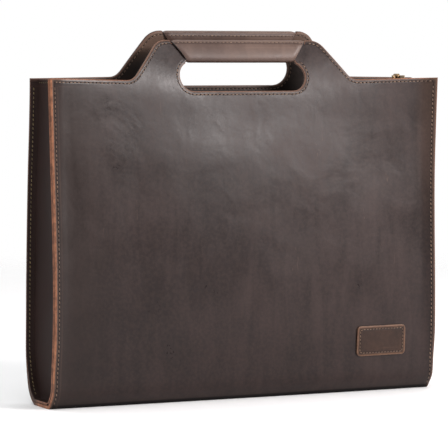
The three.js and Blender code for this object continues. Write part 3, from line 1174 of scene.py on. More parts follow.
# The grips' leather, with painted shade on the lower side of each sleeve.
GRIP_LEATHER = Leather(
    "grip_face",
    dark=linear(70, 52, 45),
    light=linear(95, 75, 66),
    rubbed_and_lit=linear(124, 102, 90),
    stain_and_shade=linear(46, 28, 21),
    cloud=0.03,
    roughness=0.46,
    shine=0.35,
    edge_rub=0.2,
    lower=0.5,
    seed=3.1,
)
PATCH_LEATHER = Leather(
    "patch_face",
    dark=linear(38, 24, 18),
    light=linear(58, 38, 29),
    rubbed_and_lit=linear(128, 94, 72),
    stain_and_shade=linear(20, 10, 7),
    cloud=0.02,
    roughness=0.5,
    shine=0.25,
    seed=4.3,
)
FACING_LEATHER = Leather(
    "facing_face",
    dark=linear(40, 31, 27),
    light=linear(54, 43, 38),
    rubbed_and_lit=linear(90, 72, 60),
    stain_and_shade=STAIN_AND_SHADE,
    cloud=0.03,
    seed=5.9,
)
WRAP_EDGE = RawEdge(
    "wrap_edge",
    light=linear(172, 112, 78),
    dark=linear(118, 72, 48),
    layers=2,
    roughness=0.7,
    burnished=linear(100, 82, 73),
    stained=linear(44, 31, 27),
)
GUSSET_EDGE = RawEdge(
    "gusset_edge",
    light=linear(140, 90, 64),
    dark=linear(96, 58, 40),
    layers=1,
    roughness=0.7,
    stained=linear(36, 25, 22),
)
GRIP_EDGE = RawEdge("grip_edge", linear(26, 20, 18), linear(15, 11, 10), layers=1)
PATCH_EDGE = RawEdge("patch_edge", linear(140, 106, 84), linear(92, 64, 48), layers=1)


class Wardrobe:
    """Every finish of the bag, made once."""

    def __init__(self) -> None:
        """Makes the materials."""
        self.wrap = WRAP_LEATHER.material()
        self.shaded_lining = SHADED_LINING_LEATHER.material()
        self.gusset = GUSSET_LEATHER.material()
        self.grip = GRIP_LEATHER.material()
        self.patch = PATCH_LEATHER.material()
        self.facing = FACING_LEATHER.material()
        self.edge = WRAP_EDGE.material()
        self.gusset_edge = GUSSET_EDGE.material()
        self.dark_edge = GRIP_EDGE.material()
        self.patch_edge = PATCH_EDGE.material()
        self.thread = Thread("stitch_thread", linear(124, 99, 80), linear(84, 64, 53)).material()
        self.light_thread = Thread("gusset_thread", linear(112, 94, 60), linear(76, 62, 38)).material()
        # Painted shade for the stitch holes.
        self.hole = HoleShade("stitch_hole_shade", linear(16, 9, 7)).material()
        self.tape = WovenTape("tape_weave", linear(186, 164, 132), linear(136, 114, 88)).material()
        self.metal = AgedMetal("zip_plating", linear(124, 102, 76), linear(178, 152, 116)).material()


# Making meshes


def points_of(bm: bmesh.types.BMesh) -> np.ndarray:
    """The places of a mesh's points, one row each."""
    return np.array([vert.co[:] for vert in bm.verts])


def lay_grid(
    bm: bmesh.types.BMesh, columns: int, rows: int, place: Callable[[np.ndarray, np.ndarray], np.ndarray]
) -> None:
    """Makes a grid and moves its points to their places.

    Args:
        bm: The mesh, still empty.
        columns: Points across.
        rows: Points along.
        place: Gives the place of each point from its column and its row.
    """
    bmesh.ops.create_grid(bm, x_segments=columns - 1, y_segments=rows - 1, size=0.5)
    flat = points_of(bm)
    column = np.rint((flat[:, 0] + 0.5) * (columns - 1)).astype(int)
    row = np.rint((flat[:, 1] + 0.5) * (rows - 1)).astype(int)
    move_points(bm, place(column, row))


def move_points(bm: bmesh.types.BMesh, places: np.ndarray) -> None:
    """Gives every point of a mesh a new place.

    Args:
        bm: The mesh.
        places: One row for each point.
    """
    for vert, spot in zip(bm.verts, places, strict=True):
        vert.co = spot


def sheet_of(lines: Sequence[Sequence[np.ndarray]]) -> bmesh.types.BMesh:
    """A sheet in metres through lines in millimetres that lie side by side."""
    grid = np.array(lines) * MM
    bm = bmesh.new()
    lay_grid(bm, grid.shape[0], grid.shape[1], lambda column, row: grid[column, row])
    return bm


def mark_points(bm: bmesh.types.BMesh, name: str, values: Sequence[float]) -> None:
    """Gives every point of a mesh a number that materials read.

    Args:
        bm: The mesh.
        name: The number's name.
        values: One number for each point.
    """
    layer = bm.verts.layers.float.new(name)
    for vert, value in zip(bm.verts, values, strict=True):
        vert[layer] = value


def turn_outwards(bm: bmesh.types.BMesh, outward: Callable[[bmesh.types.BMFace], float]) -> None:
    """Turns every face round where the mesh lies inside out.

    Args:
        bm: The mesh, whose faces all point to one side of it.
        outward: Says how far a face points outwards.
    """
    bm.normal_update()
    if sum(outward(face) for face in bm.faces) < 0:
        bmesh.ops.reverse_faces(bm, faces=bm.faces[:])


def round_edges(
    bm: bmesh.types.BMesh,
    edges: list[bmesh.types.BMEdge],
    offset: float,
    segments: int = 2,
    material: int = -1,
    clamp: bool = False,
) -> None:
    """Bevels edges with an even radius.

    Args:
        bm: The mesh.
        edges: The edges.
        offset: How far the bevel reaches.
        segments: Its number of steps.
        material: The material of its faces, or -1 for that of their neighbours.
        clamp: Whether neighbouring bevels stop where they meet.
    """
    bmesh.ops.bevel(
        bm,
        geom=edges,
        offset=offset,
        offset_type="OFFSET",
        segments=segments,
        affect="EDGES",
        profile=0.5,
        material=material,
        clamp_overlap=clamp,
    )


@dataclass(frozen=True)
class Wall:
    """How a sheet gets its thickness: its wall and the roundness of its edges."""

    thickness: float
    round_edge: float = 0.5

    def thicken(self, bm: bmesh.types.BMesh, inner: np.ndarray | None = None) -> None:
        """Adds the inner face and the rim, then rounds the rim's two edges.

        Material 0 is the outer face, 1 the rim and 2 the inner face.

        Args:
            bm: A sheet in metres whose faces point outwards.
            inner: Where the inner face's points go, or None for the wall's thickness inwards.
        """
        depth_layer = bm.verts.layers.float.new(DEPTH_LAYER)
        source_layer = bm.verts.layers.int.new(SOURCE_LAYER)
        bm.normal_update()
        if inner is None:
            inner = np.array([vert.co - vert.normal * self.thickness * MM for vert in bm.verts])
        bm.verts.index_update()
        for vert in bm.verts:
            vert[source_layer] = vert.index
        outer = set(bm.verts)
        bmesh.ops.solidify(bm, geom=bm.faces[:], thickness=self.thickness * MM)
        for vert in bm.verts:
            if vert not in outer:
                vert[depth_layer] = 1.0
                vert.co = inner[vert[source_layer]]
        for face in bm.faces:
            depths = {vert[depth_layer] for vert in face.verts}
            face.material_index = 1 if len(depths) == 2 else 2 * int(depths.pop())
        bm.verts.layers.int.remove(source_layer)
        sharp = [
            edge
            for edge in bm.edges
            if len(edge.link_faces) == 2 and len({face.material_index for face in edge.link_faces}) == 2
        ]
        round_edges(bm, sharp, self.round_edge * MM, material=1, clamp=True)


def finish_piece(
    name: str,
    source: "bmesh.types.BMesh | bpy.types.Mesh",
    materials: Sequence[bpy.types.Material],
    stands_for: Sequence[str] = (),
    sharp_angle: float = 50,
) -> None:
    """Turns a mesh into a piece of the bag.

    Args:
        name: The piece's name.
        source: Its mesh in metres, which is freed here where it is an edit mesh.
        materials: Its materials in order.
        stands_for: The solids that it stands for.
        sharp_angle: Edges with a larger angle stay sharp.
    """
    if isinstance(source, bmesh.types.BMesh):
        mesh = bpy.data.meshes.new(name)
        source.to_mesh(mesh)
        source.free()
    else:
        mesh = source
    mesh.shade_smooth()
    mesh.set_sharp_from_angle(angle=math.radians(sharp_angle))
    for material in materials:
        mesh.materials.append(material)
    piece = bpy.data.objects.new(name, mesh)
    bpy.context.scene.collection.objects.link(piece)
    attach(piece, ROOT)
    if stands_for:
        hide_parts(*stands_for)
    triangles = sum(len(polygon.vertices) - 2 for polygon in mesh.polygons)
    log.info("%s: %d triangles", name, triangles)


# Body


@dataclass
class BodyWrap:
    """The doubled leather sheet: front, floor and back, with horns, slots and the bars under the grips."""

    column_step: float = 4.2
    middle_end: float = 54
    beside_bar: tuple[float, ...] = (61, 64.5)
    horn_columns: Span = (71, 127)
    horn_step: float = 2.6
    side_columns: Span = (129, 178)
    side_step: float = 5.04
    seam_columns: tuple[float, ...] = (181, 184, 187, 189.5, 191.5, 193.3, 195)
    foot_rows: tuple[float, ...] = (0, 1.2, 2.8, 4.6, 6.8, 9.6, 13, 17.5)
    row_start: float = 23
    row_step: float = 6.2
    warp_start: float = 236
    warp_rows: int = 23
    floor_rows: int = 8
    tolerance: float = 0.5
    under_grip: float = 20
    bar_drop: float = 3.0
    bar_rows: float = 0.9
    bar_top_half: float = 68.8
    bar_slot_half: float = 57.6
    block_half: float = 76
    block_below: float = 10
    block_above: float = 7
    slot_rings: int = 3

    def columns(self) -> np.ndarray:
        """Places across, closer together at the horns' corners and the seams."""
        half = np.concatenate([
            np.arange(0, self.middle_end, self.column_step),
            [self.bar_slot_half - 1, self.bar_slot_half, *self.beside_bar],
            [self.bar_top_half - 1, self.bar_top_half],
            np.arange(*self.horn_columns, self.horn_step),
            np.arange(*self.side_columns, self.side_step),
            self.seam_columns,
        ])
        half = half[half > 0]
        return np.concatenate([-half[::-1], [0], half])

    def heights(self) -> np.ndarray:
        """Heights of a panel's rows, before the top ones are warped to the horn."""
        return np.concatenate([
            self.foot_rows,
            np.arange(self.row_start, self.warp_start, self.row_step),
            np.linspace(self.warp_start, FORM.height, self.warp_rows),
        ])

    def flat_sheet(self) -> bmesh.types.BMesh:
        """The flat pattern as a grid, with the top rows warped to the panels' outlines."""
        columns = self.columns()
        heights = self.heights()
        floor = -np.linspace(0, FORM.floor_width, self.floor_rows)[1:-1]
        back = -heights - FORM.floor_width
        rows = np.concatenate([back[::-1], floor[::-1], heights])
        bm = bmesh.new()

        def place(column: np.ndarray, row: np.ndarray) -> np.ndarray:
            """The flat place of a grid point."""
            x = columns[column]
            s = rows[row]
            for panel in (FRONT, BACK):
                outline = PanelOutline(panel)
                height = FORM.height_on(panel, s)
                share = (height - self.warp_start) / (FORM.height - self.warp_start)
                warped = self.warp_start + share * (outline.top_at(x) - self.warp_start)
                on_bar = np.abs(x) < self.bar_top_half - self.tolerance
                drop = self.bar_drop * eased((share - self.bar_rows) / (1 - self.bar_rows))
                warped -= np.where(on_bar, drop, 0)
                on_panel = (s >= 0) == (panel is FRONT)
                s = np.where(on_panel & (share > 0), FORM.flat(panel, warped), s)
            return np.column_stack([x, s, np.zeros(len(x))])

        lay_grid(bm, len(columns), len(rows), place)
        return bm

    def slot_block(self, bm: bmesh.types.BMesh, panel: Panel) -> list[bmesh.types.BMFace]:
        """The whole rows of the grid round one hand slot.

        Args:
            bm: The flat pattern, still a whole grid.
            panel: The panel.

        Returns:
            The faces.
        """
        outline = PanelOutline(panel)
        low = outline.floor - self.block_below
        high = outline.roof + self.block_above
        columns = len(self.columns())
        near: list[tuple[bmesh.types.BMFace, int]] = []
        rows: set[int] = set()
        for face in bm.faces:
            centre = face.calc_center_median()
            if abs(centre.x) > self.block_half:
                continue
            row = min(vert.index for vert in face.verts) // columns
            near.append((face, row))
            if abs(centre.x) < self.column_step and low < FORM.height_on(panel, centre.y) < high:
                rows.add(row)
        return [face for face, row in near if row in rows]

    def cut_slot(self, bm: bmesh.types.BMesh, panel: Panel, inside: list[bmesh.types.BMFace]) -> None:
        """Cuts one hand slot, with rings of faces that lead from the grid to its round ends.

        Args:
            bm: The flat pattern.
            panel: The panel.
            inside: The faces that make way for the slot and its rings.
        """
        outline = PanelOutline(panel)
        rim_verts = {vert for face in inside for vert in face.verts}
        bmesh.ops.delete(bm, geom=inside, context="FACES")
        rim = [
            edge
            for edge in bm.edges
            if edge.is_boundary and all(vert.is_valid and vert in rim_verts for vert in edge.verts)
        ]
        result = bmesh.ops.extrude_edge_only(bm, edges=rim)
        moved = [item for item in result["geom"] if isinstance(item, bmesh.types.BMVert)]
        x = np.array([vert.co.x for vert in moved])
        z = np.array([FORM.height_on(panel, vert.co.y) for vert in moved])
        onto = outline.onto_slot(x, z)
        near_roof = onto[:, 1] > outline.roof - 2 * self.tolerance
        on_roof = near_roof & (np.abs(onto[:, 0]) < self.bar_slot_half - self.tolerance)
        onto[:, 1] += np.where(on_roof, self.bar_drop, 0)
        new = set(moved)
        for vert, (spot_x, spot_z) in zip(moved, onto, strict=True):
            vert.co = (spot_x, float(FORM.flat(panel, spot_z)), 0)
        bridges = [edge for edge in bm.edges if len(new.intersection(edge.verts)) == 1]
        bmesh.ops.subdivide_edges(bm, edges=bridges, cuts=self.slot_rings, use_grid_fill=True)

    def edge_distances(self, x: np.ndarray, s: np.ndarray) -> np.ndarray:
        """How far flat points lie from the nearest cut edge.

        Args:
            x: Places across.
            s: Places along the sheet.

        Returns:
            Distances.
        """
        nearest = FORM.half - np.abs(x)
        for panel in (FRONT, BACK):
            outline = PanelOutline(panel)
            height = FORM.height_on(panel, s)
            on_panel = height >= 0
            top = distance_to_line(np.column_stack([x, height]), outline.top_line())
            slot = outline.slot_distance(x, height)
            covered = (np.abs(x) < self.bar_slot_half) & (height > outline.roof - 4 * self.tolerance)
            top = np.where(covered, self.under_grip, top)
            slot = np.where(covered, self.under_grip, slot)
            nearest = np.where(on_panel, np.minimum(nearest, np.minimum(top, slot)), nearest)
        return nearest

    def build(self, finishes: Wardrobe) -> None:
        """Makes the piece.

        Args:
            finishes: The finishes.
        """
        bm = self.flat_sheet()
        bm.verts.index_update()
        blocks = [(panel, self.slot_block(bm, panel)) for panel in (FRONT, BACK)]
        for panel, block in blocks:
            self.cut_slot(bm, panel, block)
        x, s, _ = points_of(bm).T
        mark_points(bm, EDGE_LAYER, self.edge_distances(x, s))
        points, normals = FORM.place(x, s)
        inner, _ = FORM.place(x, s, FORM.wall)
        move_points(bm, points * MM)
        bm.verts.index_update()
        turn_outwards(bm, lambda face: face.normal.dot(Vector(normals[face.verts[0].index])))
        Wall(FORM.wall, round_edge=0.55).thicken(bm, inner * MM)
        for vert in bm.verts:
            vert.co.z = max(0.0, vert.co.z)
        materials = [finishes.wrap, finishes.edge, finishes.shaded_lining]
        finish_piece("leather_wrap", bm, materials, ["body_wrap"])


@dataclass
class GussetSkin:
    """A side gusset: flanges sewn to the wrap's raw edge, and a web that hollows in between them."""

    side: Side
    seam_allowance: float = 7
    seam_gap: float = 0.45
    wall: float = 2
    hollow: float = 3
    drop: float = 0.5
    web_shares: tuple[float, ...] = (0.04, 0.1, 0.2, 0.34, 0.5, 0.66, 0.82, 1.0)
    line_points: int = 150
    flange_rings: int = 5
    floor_share: float = 0.07
    merge: float = 0.02

    def flange_line(self, x: float, depth: float) -> np.ndarray:
        """The line along the wrap's section at one place across.

        Args:
            x: The place across.
            depth: How deep the line lies under the wrap's outer face.

        Returns:
            Its points in millimetres, from the front's top over the floor to the back's top.
        """
        top = FORM.height - self.drop
        places = np.array([top, -top - FORM.floor_width])
        ends = FORM.share_at(np.full(2, x), places)
        t = np.linspace(ends[0], ends[1], self.line_points)
        point, normal = FORM.shell(np.full(len(t), x), t)
        return point - normal * depth

    def rings(self) -> list[np.ndarray]:
        """The lines of the outer face, from the raw edge to the web's middle."""
        face_depth = FORM.wall + self.seam_gap + self.wall
        edge, inner = FORM.half, FORM.half - self.seam_allowance
        across = np.linspace(edge, inner, self.flange_rings)
        rings = [self.flange_line(self.side.value * x, face_depth) for x in across]
        rim = rings[-1]
        last = len(rim) - 1
        index = np.arange(last + 1)
        floor_row = int(last * (0.5 - self.floor_share / 2))
        row = np.minimum(np.minimum(index, last - index), floor_row)
        middle = (rim[row] + rim[last - row]) / 2
        for share in self.web_shares:
            web = rim + (middle - rim) * share
            web[:, 0] -= self.side.value * self.hollow * (1 - (1 - share) ** 2)
            rings.append(web)
        return rings

    def build(self, finishes: Wardrobe) -> None:
        """Makes the piece.

        Args:
            finishes: The finishes.
        """
        bm = sheet_of(self.rings())
        top = FORM.height - self.drop
        mark_points(bm, EDGE_LAYER, [max(0.0, top - vert.co.z / MM) for vert in bm.verts])
        bmesh.ops.remove_doubles(bm, verts=bm.verts[:], dist=self.merge * MM)
        turn_outwards(bm, lambda face: face.normal.x * face.calc_area() * self.side.value)
        Wall(self.wall, round_edge=0.35).thicken(bm)
        name = self.side.name.lower()
        materials = [finishes.gusset, finishes.gusset_edge, finishes.shaded_lining]
        finish_piece(f"gusset_skin_{name}", bm, materials, [f"gusset_{name}"])


@dataclass
class GripSleeve:
    """A leather sleeve round one handle's bar, with slanted ends and its joint along the top."""

    panel: Panel
    wall: float = 1.6
    gap: float = 0.5
    top_length: float = 136.5
    slot_length: float = 110
    fullness: float = 0.8
    squareness: float = 4.2
    skive: float = 0.9
    skive_start: float = 0.93
    stations: int = 73
    ring_points: int = 48
    merge: float = 0.01

    def surface(self, along: np.ndarray, angle: np.ndarray, lift: float = 0) -> np.ndarray:
        """Points of the sleeve's outer face.

        Args:
            along: From -1 at its left end to 1 at its right one.
            angle: The way round it, which is 0 on the outside of the bag and a right angle on top.
            lift: How far over the face the points lie.

        Returns:
            Points in millimetres.
        """
        outline = PanelOutline(self.panel)
        centre = (outline.roof + outline.top) / 2
        half_height = (outline.top - outline.roof) / 2
        half_depth = FORM.wall / 2 + self.gap + self.wall
        power = self.squareness
        reach = (np.abs(np.cos(angle)) ** power + np.abs(np.sin(angle)) ** power) ** (-1 / power)
        up = reach * np.sin(angle)
        out = reach * np.cos(angle)
        x = along * (self.slot_length + (self.top_length - self.slot_length) * (up + 1) / 2) / 2
        thinned = self.skive * eased((np.abs(along) - self.skive_start) / (1 - self.skive_start))
        lift = lift - (thinned if lift > -self.wall else 0)
        full = self.fullness * (1 - up**2) + lift
        depth = FORM.wall / 2 - out * (half_depth + full)
        height = centre + up * (half_height + lift)
        point, _ = FORM.place(x, FORM.flat(self.panel, height), depth)
        return point

    def build(self, finishes: Wardrobe) -> None:
        """Makes the piece.

        Args:
            finishes: The finishes.
        """
        bm = bmesh.new()
        inner_rows: list[np.ndarray] = []

        def place(column: np.ndarray, row: np.ndarray) -> np.ndarray:
            """The place of a grid point on the sleeve."""
            along = 2 * column / (self.stations - 1) - 1
            angle = 2 * math.pi * row / self.ring_points
            inner_rows.append(self.surface(along, angle, -self.wall) * MM)
            return self.surface(along, angle) * MM

        lay_grid(bm, self.stations, self.ring_points + 1, place)
        number = bm.verts.layers.int.new(NUMBER_LAYER)
        for index, vert in enumerate(bm.verts):
            vert[number] = index
        bmesh.ops.remove_doubles(bm, verts=bm.verts[:], dist=self.merge * MM)
        bmesh.ops.recalc_face_normals(bm, faces=bm.faces[:])
        middle = sum((vert.co for vert in bm.verts), Vector()) / len(bm.verts)
        turn_outwards(bm, lambda face: face.normal.dot(face.calc_center_median() - middle))
        kept = [vert[number] for vert in bm.verts]
        bm.verts.layers.int.remove(number)
        top = PanelOutline(self.panel).top
        mark_points(bm, EDGE_LAYER, [max(0.0, top - vert.co.z / MM) for vert in bm.verts])
        Wall(self.wall, round_edge=0.3).thicken(bm, inner_rows[0][kept])
        name = self.panel.name
        materials = [finishes.grip, finishes.dark_edge, finishes.shaded_lining]
        finish_piece(f"grip_sleeve_{name}", bm, materials, [f"grip_wrap_{name}"])


@dataclass
class LabelPatch:
    """The bare leather patch, sewn low on the right of the front."""

    width: float = 53
    height: float = 28
    wall: float = 1.6
    radius: float = 4
    least_radius: float = 0.6
    centre_x: float = 136.5
    centre_z: float = 48.3
    lift: float = 0.3
    ring_steps: int = 5
    cell: float = 2.0

    def outline(self, inset: float) -> np.ndarray:
        """The patch's closed line, some way in from its edge."""
        half_x, half_z = self.width / 2 - inset, self.height / 2 - inset
        radius = max(self.least_radius, self.radius - inset)
        signs = [(-1, -1), (1, -1), (1, 1), (-1, 1)]
        corners = [
            (self.centre_x + side * half_x, self.centre_z + up * half_z, radius) for side, up in signs
        ]
        line = rounded(corners, closed=True, steps=self.ring_steps)
        return np.vstack([line, line[:1]])

    def build(self, finishes: Wardrobe) -> None:
        """Makes the piece from a grid whose corners are drawn in to arcs.

        Args:
            finishes: The finishes.
        """
        half_x, half_z = self.width / 2, self.height / 2
        columns, rows = (2 * round(half / self.cell) + 1 for half in (half_x, half_z))

        def place(column: np.ndarray, row: np.ndarray) -> np.ndarray:
            """The flat place of a grid point."""
            x = (2 * column / (columns - 1) - 1) * half_x
            z = (2 * row / (rows - 1) - 1) * half_z
            over_x = np.maximum(np.abs(x) - (half_x - self.radius), 0) / self.radius
            over_z = np.maximum(np.abs(z) - (half_z - self.radius), 0) / self.radius
            reach = np.maximum(over_x, over_z) / (np.hypot(over_x, over_z) + TINY)
            drawn = (over_x > 0) & (over_z > 0)
            x = np.where(drawn, np.sign(x) * (half_x - self.radius * (1 - over_x * reach)), x)
            z = np.where(drawn, np.sign(z) * (half_z - self.radius * (1 - over_z * reach)), z)
            return np.column_stack([x + self.centre_x, z + self.centre_z, np.zeros(len(x))])

        bm = bmesh.new()
        lay_grid(bm, columns, rows, place)
        x, z, _ = points_of(bm).T
        off_x, off_z = half_x - np.abs(x - self.centre_x), half_z - np.abs(z - self.centre_z)
        mark_points(bm, EDGE_LAYER, np.maximum(0, np.minimum(off_x, off_z)))
        points, _ = FORM.place(x, z, -self.lift - self.wall)
        move_points(bm, points * MM)
        turn_outwards(bm, lambda face: -face.normal.y)
        Wall(self.wall, round_edge=0.45).thicken(bm)
        materials = [finishes.patch, finishes.patch_edge, finishes.shaded_lining]
        finish_piece("stitched_patch", bm, materials, ["label_patch"])


# Stitches


class Stamp:
    """A small model that is copied many times into one mesh."""

    def __init__(self, bm: bmesh.types.BMesh) -> None:
        """Keeps a model's points and faces, and frees it.

        Args:
            bm: The model, in millimetres.
        """
        bm.verts.index_update()
        self.points = points_of(bm)
        self.faces = [[vert.index for vert in face.verts] for face in bm.faces]
        bm.free()
        self.placed: list[np.ndarray] = []

    def press(self, centre: np.ndarray, axes: np.ndarray) -> None:
        """Adds one copy.

        Args:
            centre: Its middle in millimetres.
            axes: Where the model's three axes end, one row each.
        """
        self.placed.append(self.points @ axes + centre)

    @staticmethod
    def mesh(name: str, stamps: Sequence["Stamp"]) -> bpy.types.Mesh:
        """One mesh of all the copies, with one material for each model.

        Args:
            name: The mesh's name.
            stamps: The models.

        Returns:
            The mesh in metres.
        """
        faces: list[list[int]] = []
        materials: list[int] = []
        base = 0
        for index, stamp in enumerate(stamps):
            for points in stamp.placed:
                faces.extend([corner + base for corner in face] for face in stamp.faces)
                materials.extend([index] * len(stamp.faces))
                base += len(points)
        mesh = bpy.data.meshes.new(name)
        points = np.vstack([points for stamp in stamps for points in stamp.placed]) * MM
        mesh.from_pydata(points.tolist(), [], faces)
        mesh.polygons.foreach_set("material_index", materials)
        return mesh


def oval(segments: int, rings: int) -> Stamp:
    """A ball with a width of 1, to be stretched where it is placed."""
    bm = bmesh.new()
    bmesh.ops.create_uvsphere(bm, u_segments=segments, v_segments=rings, radius=0.5)
    return Stamp(bm)


@dataclass
class StitchRow:
    """Rows of saddle stitches: short slanted threads between small dark ovals, painted shade that stands
    for the holes.
    """

    name: str
    slot: Slot
    pitch: float = 3.9
    length: float = 2.9
    thickness: float = 1.0
    flatness: float = 0.8
    lift: float = 0.12
    hole: float = 1.4
    hole_height: float = 0.12
    hole_narrowing: float = 0.8
    slant: float = 0.14

    def __post_init__(self) -> None:
        """Makes the two small models."""
        self.thread = oval(8, 5)
        self.mouth = oval(6, 3)

    def sew(self, places: np.ndarray, normals: np.ndarray) -> None:
        """Adds one run of stitches, one between each place and the next.

        Args:
            places: The stitch holes in millimetres.
            normals: The way out of the leather at each one.
        """
        ups = unit_rows(normals[1:] + normals[:-1])
        aheads = unit_rows(np.diff(places, axis=0))
        asides = unit_rows(np.cross(ups, aheads))
        slanted = unit_rows(aheads + asides * self.slant)
        across = np.cross(slanted, ups)
        middles = (places[1:] + places[:-1]) / 2 + ups * self.lift
        height = self.thickness * self.flatness
        for row, middle in enumerate(middles):
            axes = [slanted[row] * self.length, -across[row] * self.thickness, ups[row] * height]
            self.thread.press(middle, np.array(axes))
        # Each hole is a flat dark oval: painted shade where the thread goes into the leather.
        for row, place in enumerate(places):
            near = min(row, len(ups) - 1)
            width = self.hole * self.hole_narrowing
            axes = [aheads[near] * self.hole, asides[near] * width, ups[near] * self.hole_height]
            self.mouth.press(place, np.array(axes))

    def finish(self, finishes: Wardrobe, thread: bpy.types.Material) -> None:
        """Makes the piece.

        Args:
            finishes: The finishes.
            thread: The thread's material.
        """
        mesh = Stamp.mesh(self.name, [self.thread, self.mouth])
        finish_piece(self.name, mesh, [thread, finishes.hole])


@dataclass
class BodyStitches:
    """All the stitch lines of the wrap: side seams, upper edges, slots, and their other faces inside."""

    inset: float = 3.2
    seam_inset: float = 3.4
    pitch: float = 3.9
    grip_clear: float = 70.5
    slot_clear: float = 59.5
    seam_low: float = 4
    flange_depth: float = 5.45
    line_step: float = 0.8

    def runs(self, panel: Panel) -> list[np.ndarray]:
        """The stitch lines of one panel as flat places.

        Args:
            panel: The panel.

        Returns:
            Lines of x and height.
        """
        outline = PanelOutline(panel)
        edge = FORM.half - self.seam_inset
        top = FORM.height - self.inset
        fine = resampled(outline.top_line(), self.line_step)
        line = moved_line(fine, self.inset)
        left = line[(line[:, 0] > -edge) & (line[:, 0] < -self.grip_clear)]
        right = line[(line[:, 0] < edge) & (line[:, 0] > self.grip_clear)]
        slot = resampled(outline.slot_line(self.inset), self.line_step)
        shown = (slot[:, 1] < outline.slot_centre) | (np.abs(slot[:, 0]) > self.slot_clear)
        seams = [np.array([[x, top - self.pitch], [x, self.seam_low]]) for x in (-edge, edge)]
        return [left, right, slot[shown], *seams]

    def sew_run(
        self, row: StitchRow, panel: Panel, line: np.ndarray, depth: float, inward: bool = False
    ) -> None:
        """Sews one flat line on a panel.

        Args:
            row: The row of stitches to add to.
            panel: The panel.
            line: The line's x and heights.
            depth: How deep the stitches lie under the outer face.
            inward: Whether they show on the inside.
        """
        ends = resampled(line, row.pitch)
        points, normals = FORM.place(ends[:, 0], FORM.flat(panel, ends[:, 1]), depth)
        row.sew(points, -normals if inward else normals)

    def build(self, finishes: Wardrobe) -> None:
        """Makes the pieces of both panels, outside and inside.

        Args:
            finishes: The finishes.
        """
        for panel in (FRONT, BACK):
            outer = StitchRow(f"stitches_{panel.name}", Slot.WRAP, self.pitch)
            inner = StitchRow(f"stitches_{panel.name}_inside", Slot.WRAP, self.pitch)
            runs = self.runs(panel)
            for line in runs:
                self.sew_run(outer, panel, line, 0)
            for line in runs[:3]:
                self.sew_run(inner, panel, line, FORM.wall, inward=True)
            outer.finish(finishes, finishes.thread)
            inner.finish(finishes, finishes.thread)
            flange = StitchRow(f"stitches_{panel.name}_flange", Slot.GUSSET, self.pitch)
            for line in runs[3:]:
                self.sew_run(flange, panel, line, self.flange_depth, inward=True)
            flange.finish(finishes, finishes.light_thread)


@dataclass
class GripStitches:
    """The stitch line just under each sleeve's joint, on both of its faces."""

    panel: Panel
    up: float = 0.72
    end: float = 0.965
    pitch: float = 4.0

    def build(self, finishes: Wardrobe) -> None:
        """Makes the piece.

        Args:
            finishes: The finishes.
        """
        sleeve = GripSleeve(self.panel)
        row = StitchRow(f"stitches_grip_{self.panel.name}", Slot.GRIP, self.pitch)
        angle = math.atan(self.up)
        count = round(sleeve.top_length * self.end / self.pitch)
        along = np.linspace(-self.end, self.end, count + 1)
        for turn in (angle, math.pi - angle):
            points = sleeve.surface(along, np.full(len(along), turn))
            over = sleeve.surface(along, np.full(len(along), turn), 1.0)
            row.sew(points, over - points)
        row.finish(finishes, finishes.thread)


@dataclass
class PatchStitches:
    """The stitch line round the patch."""

    inset: float = 3.0
    pitch: float = 3.3

    def build(self, finishes: Wardrobe) -> None:
        """Makes the piece.

        Args:
            finishes: The finishes.
        """
        patch = LabelPatch()
        row = StitchRow("stitches_patch", Slot.PATCH, self.pitch, length=2.5, thickness=0.7, hole=0.9)
        ends = resampled(patch.outline(self.inset), self.pitch)
        points, normals = FORM.place(ends[:, 0], ends[:, 1], -patch.lift - patch.wall)
        row.sew(points, normals)
        row.finish(finishes, finishes.thread)


@dataclass
class GussetHem:
    """The stitch line across the top of each gusset."""

    side: Side
    drop: float = 3.4
    pitch: float = 3.4
    end_points: int = 40

    def build(self, finishes: Wardrobe) -> None:
        """Makes the piece.

        Args:
            finishes: The finishes.
        """
        skin = GussetSkin(self.side)
        rings = skin.rings()
        level = FORM.height - skin.drop - self.drop
        halves = []
        for ends in (slice(0, self.end_points), slice(-self.end_points, None)):
            line = []
            for ring in rings[skin.flange_rings - 1 :]:
                part = ring[ends]
                part = part[np.argsort(part[:, 2])]
                line.append([np.interp(level, part[:, 2], part[:, axis]) for axis in range(3)])
            halves.append(np.array(line))
        path = np.vstack([halves[0], halves[1][::-1][1:]])
        points = resampled(path, self.pitch)
        name = f"stitches_hem_{self.side.name.lower()}"
        row = StitchRow(name, Slot.GUSSET, self.pitch, length=2.4, thickness=0.7)
        normals = np.tile([float(self.side.value), 0.0, 0.0], (len(points), 1))
        row.sew(points, normals)
        row.finish(finishes, finishes.light_thread)


# Zip


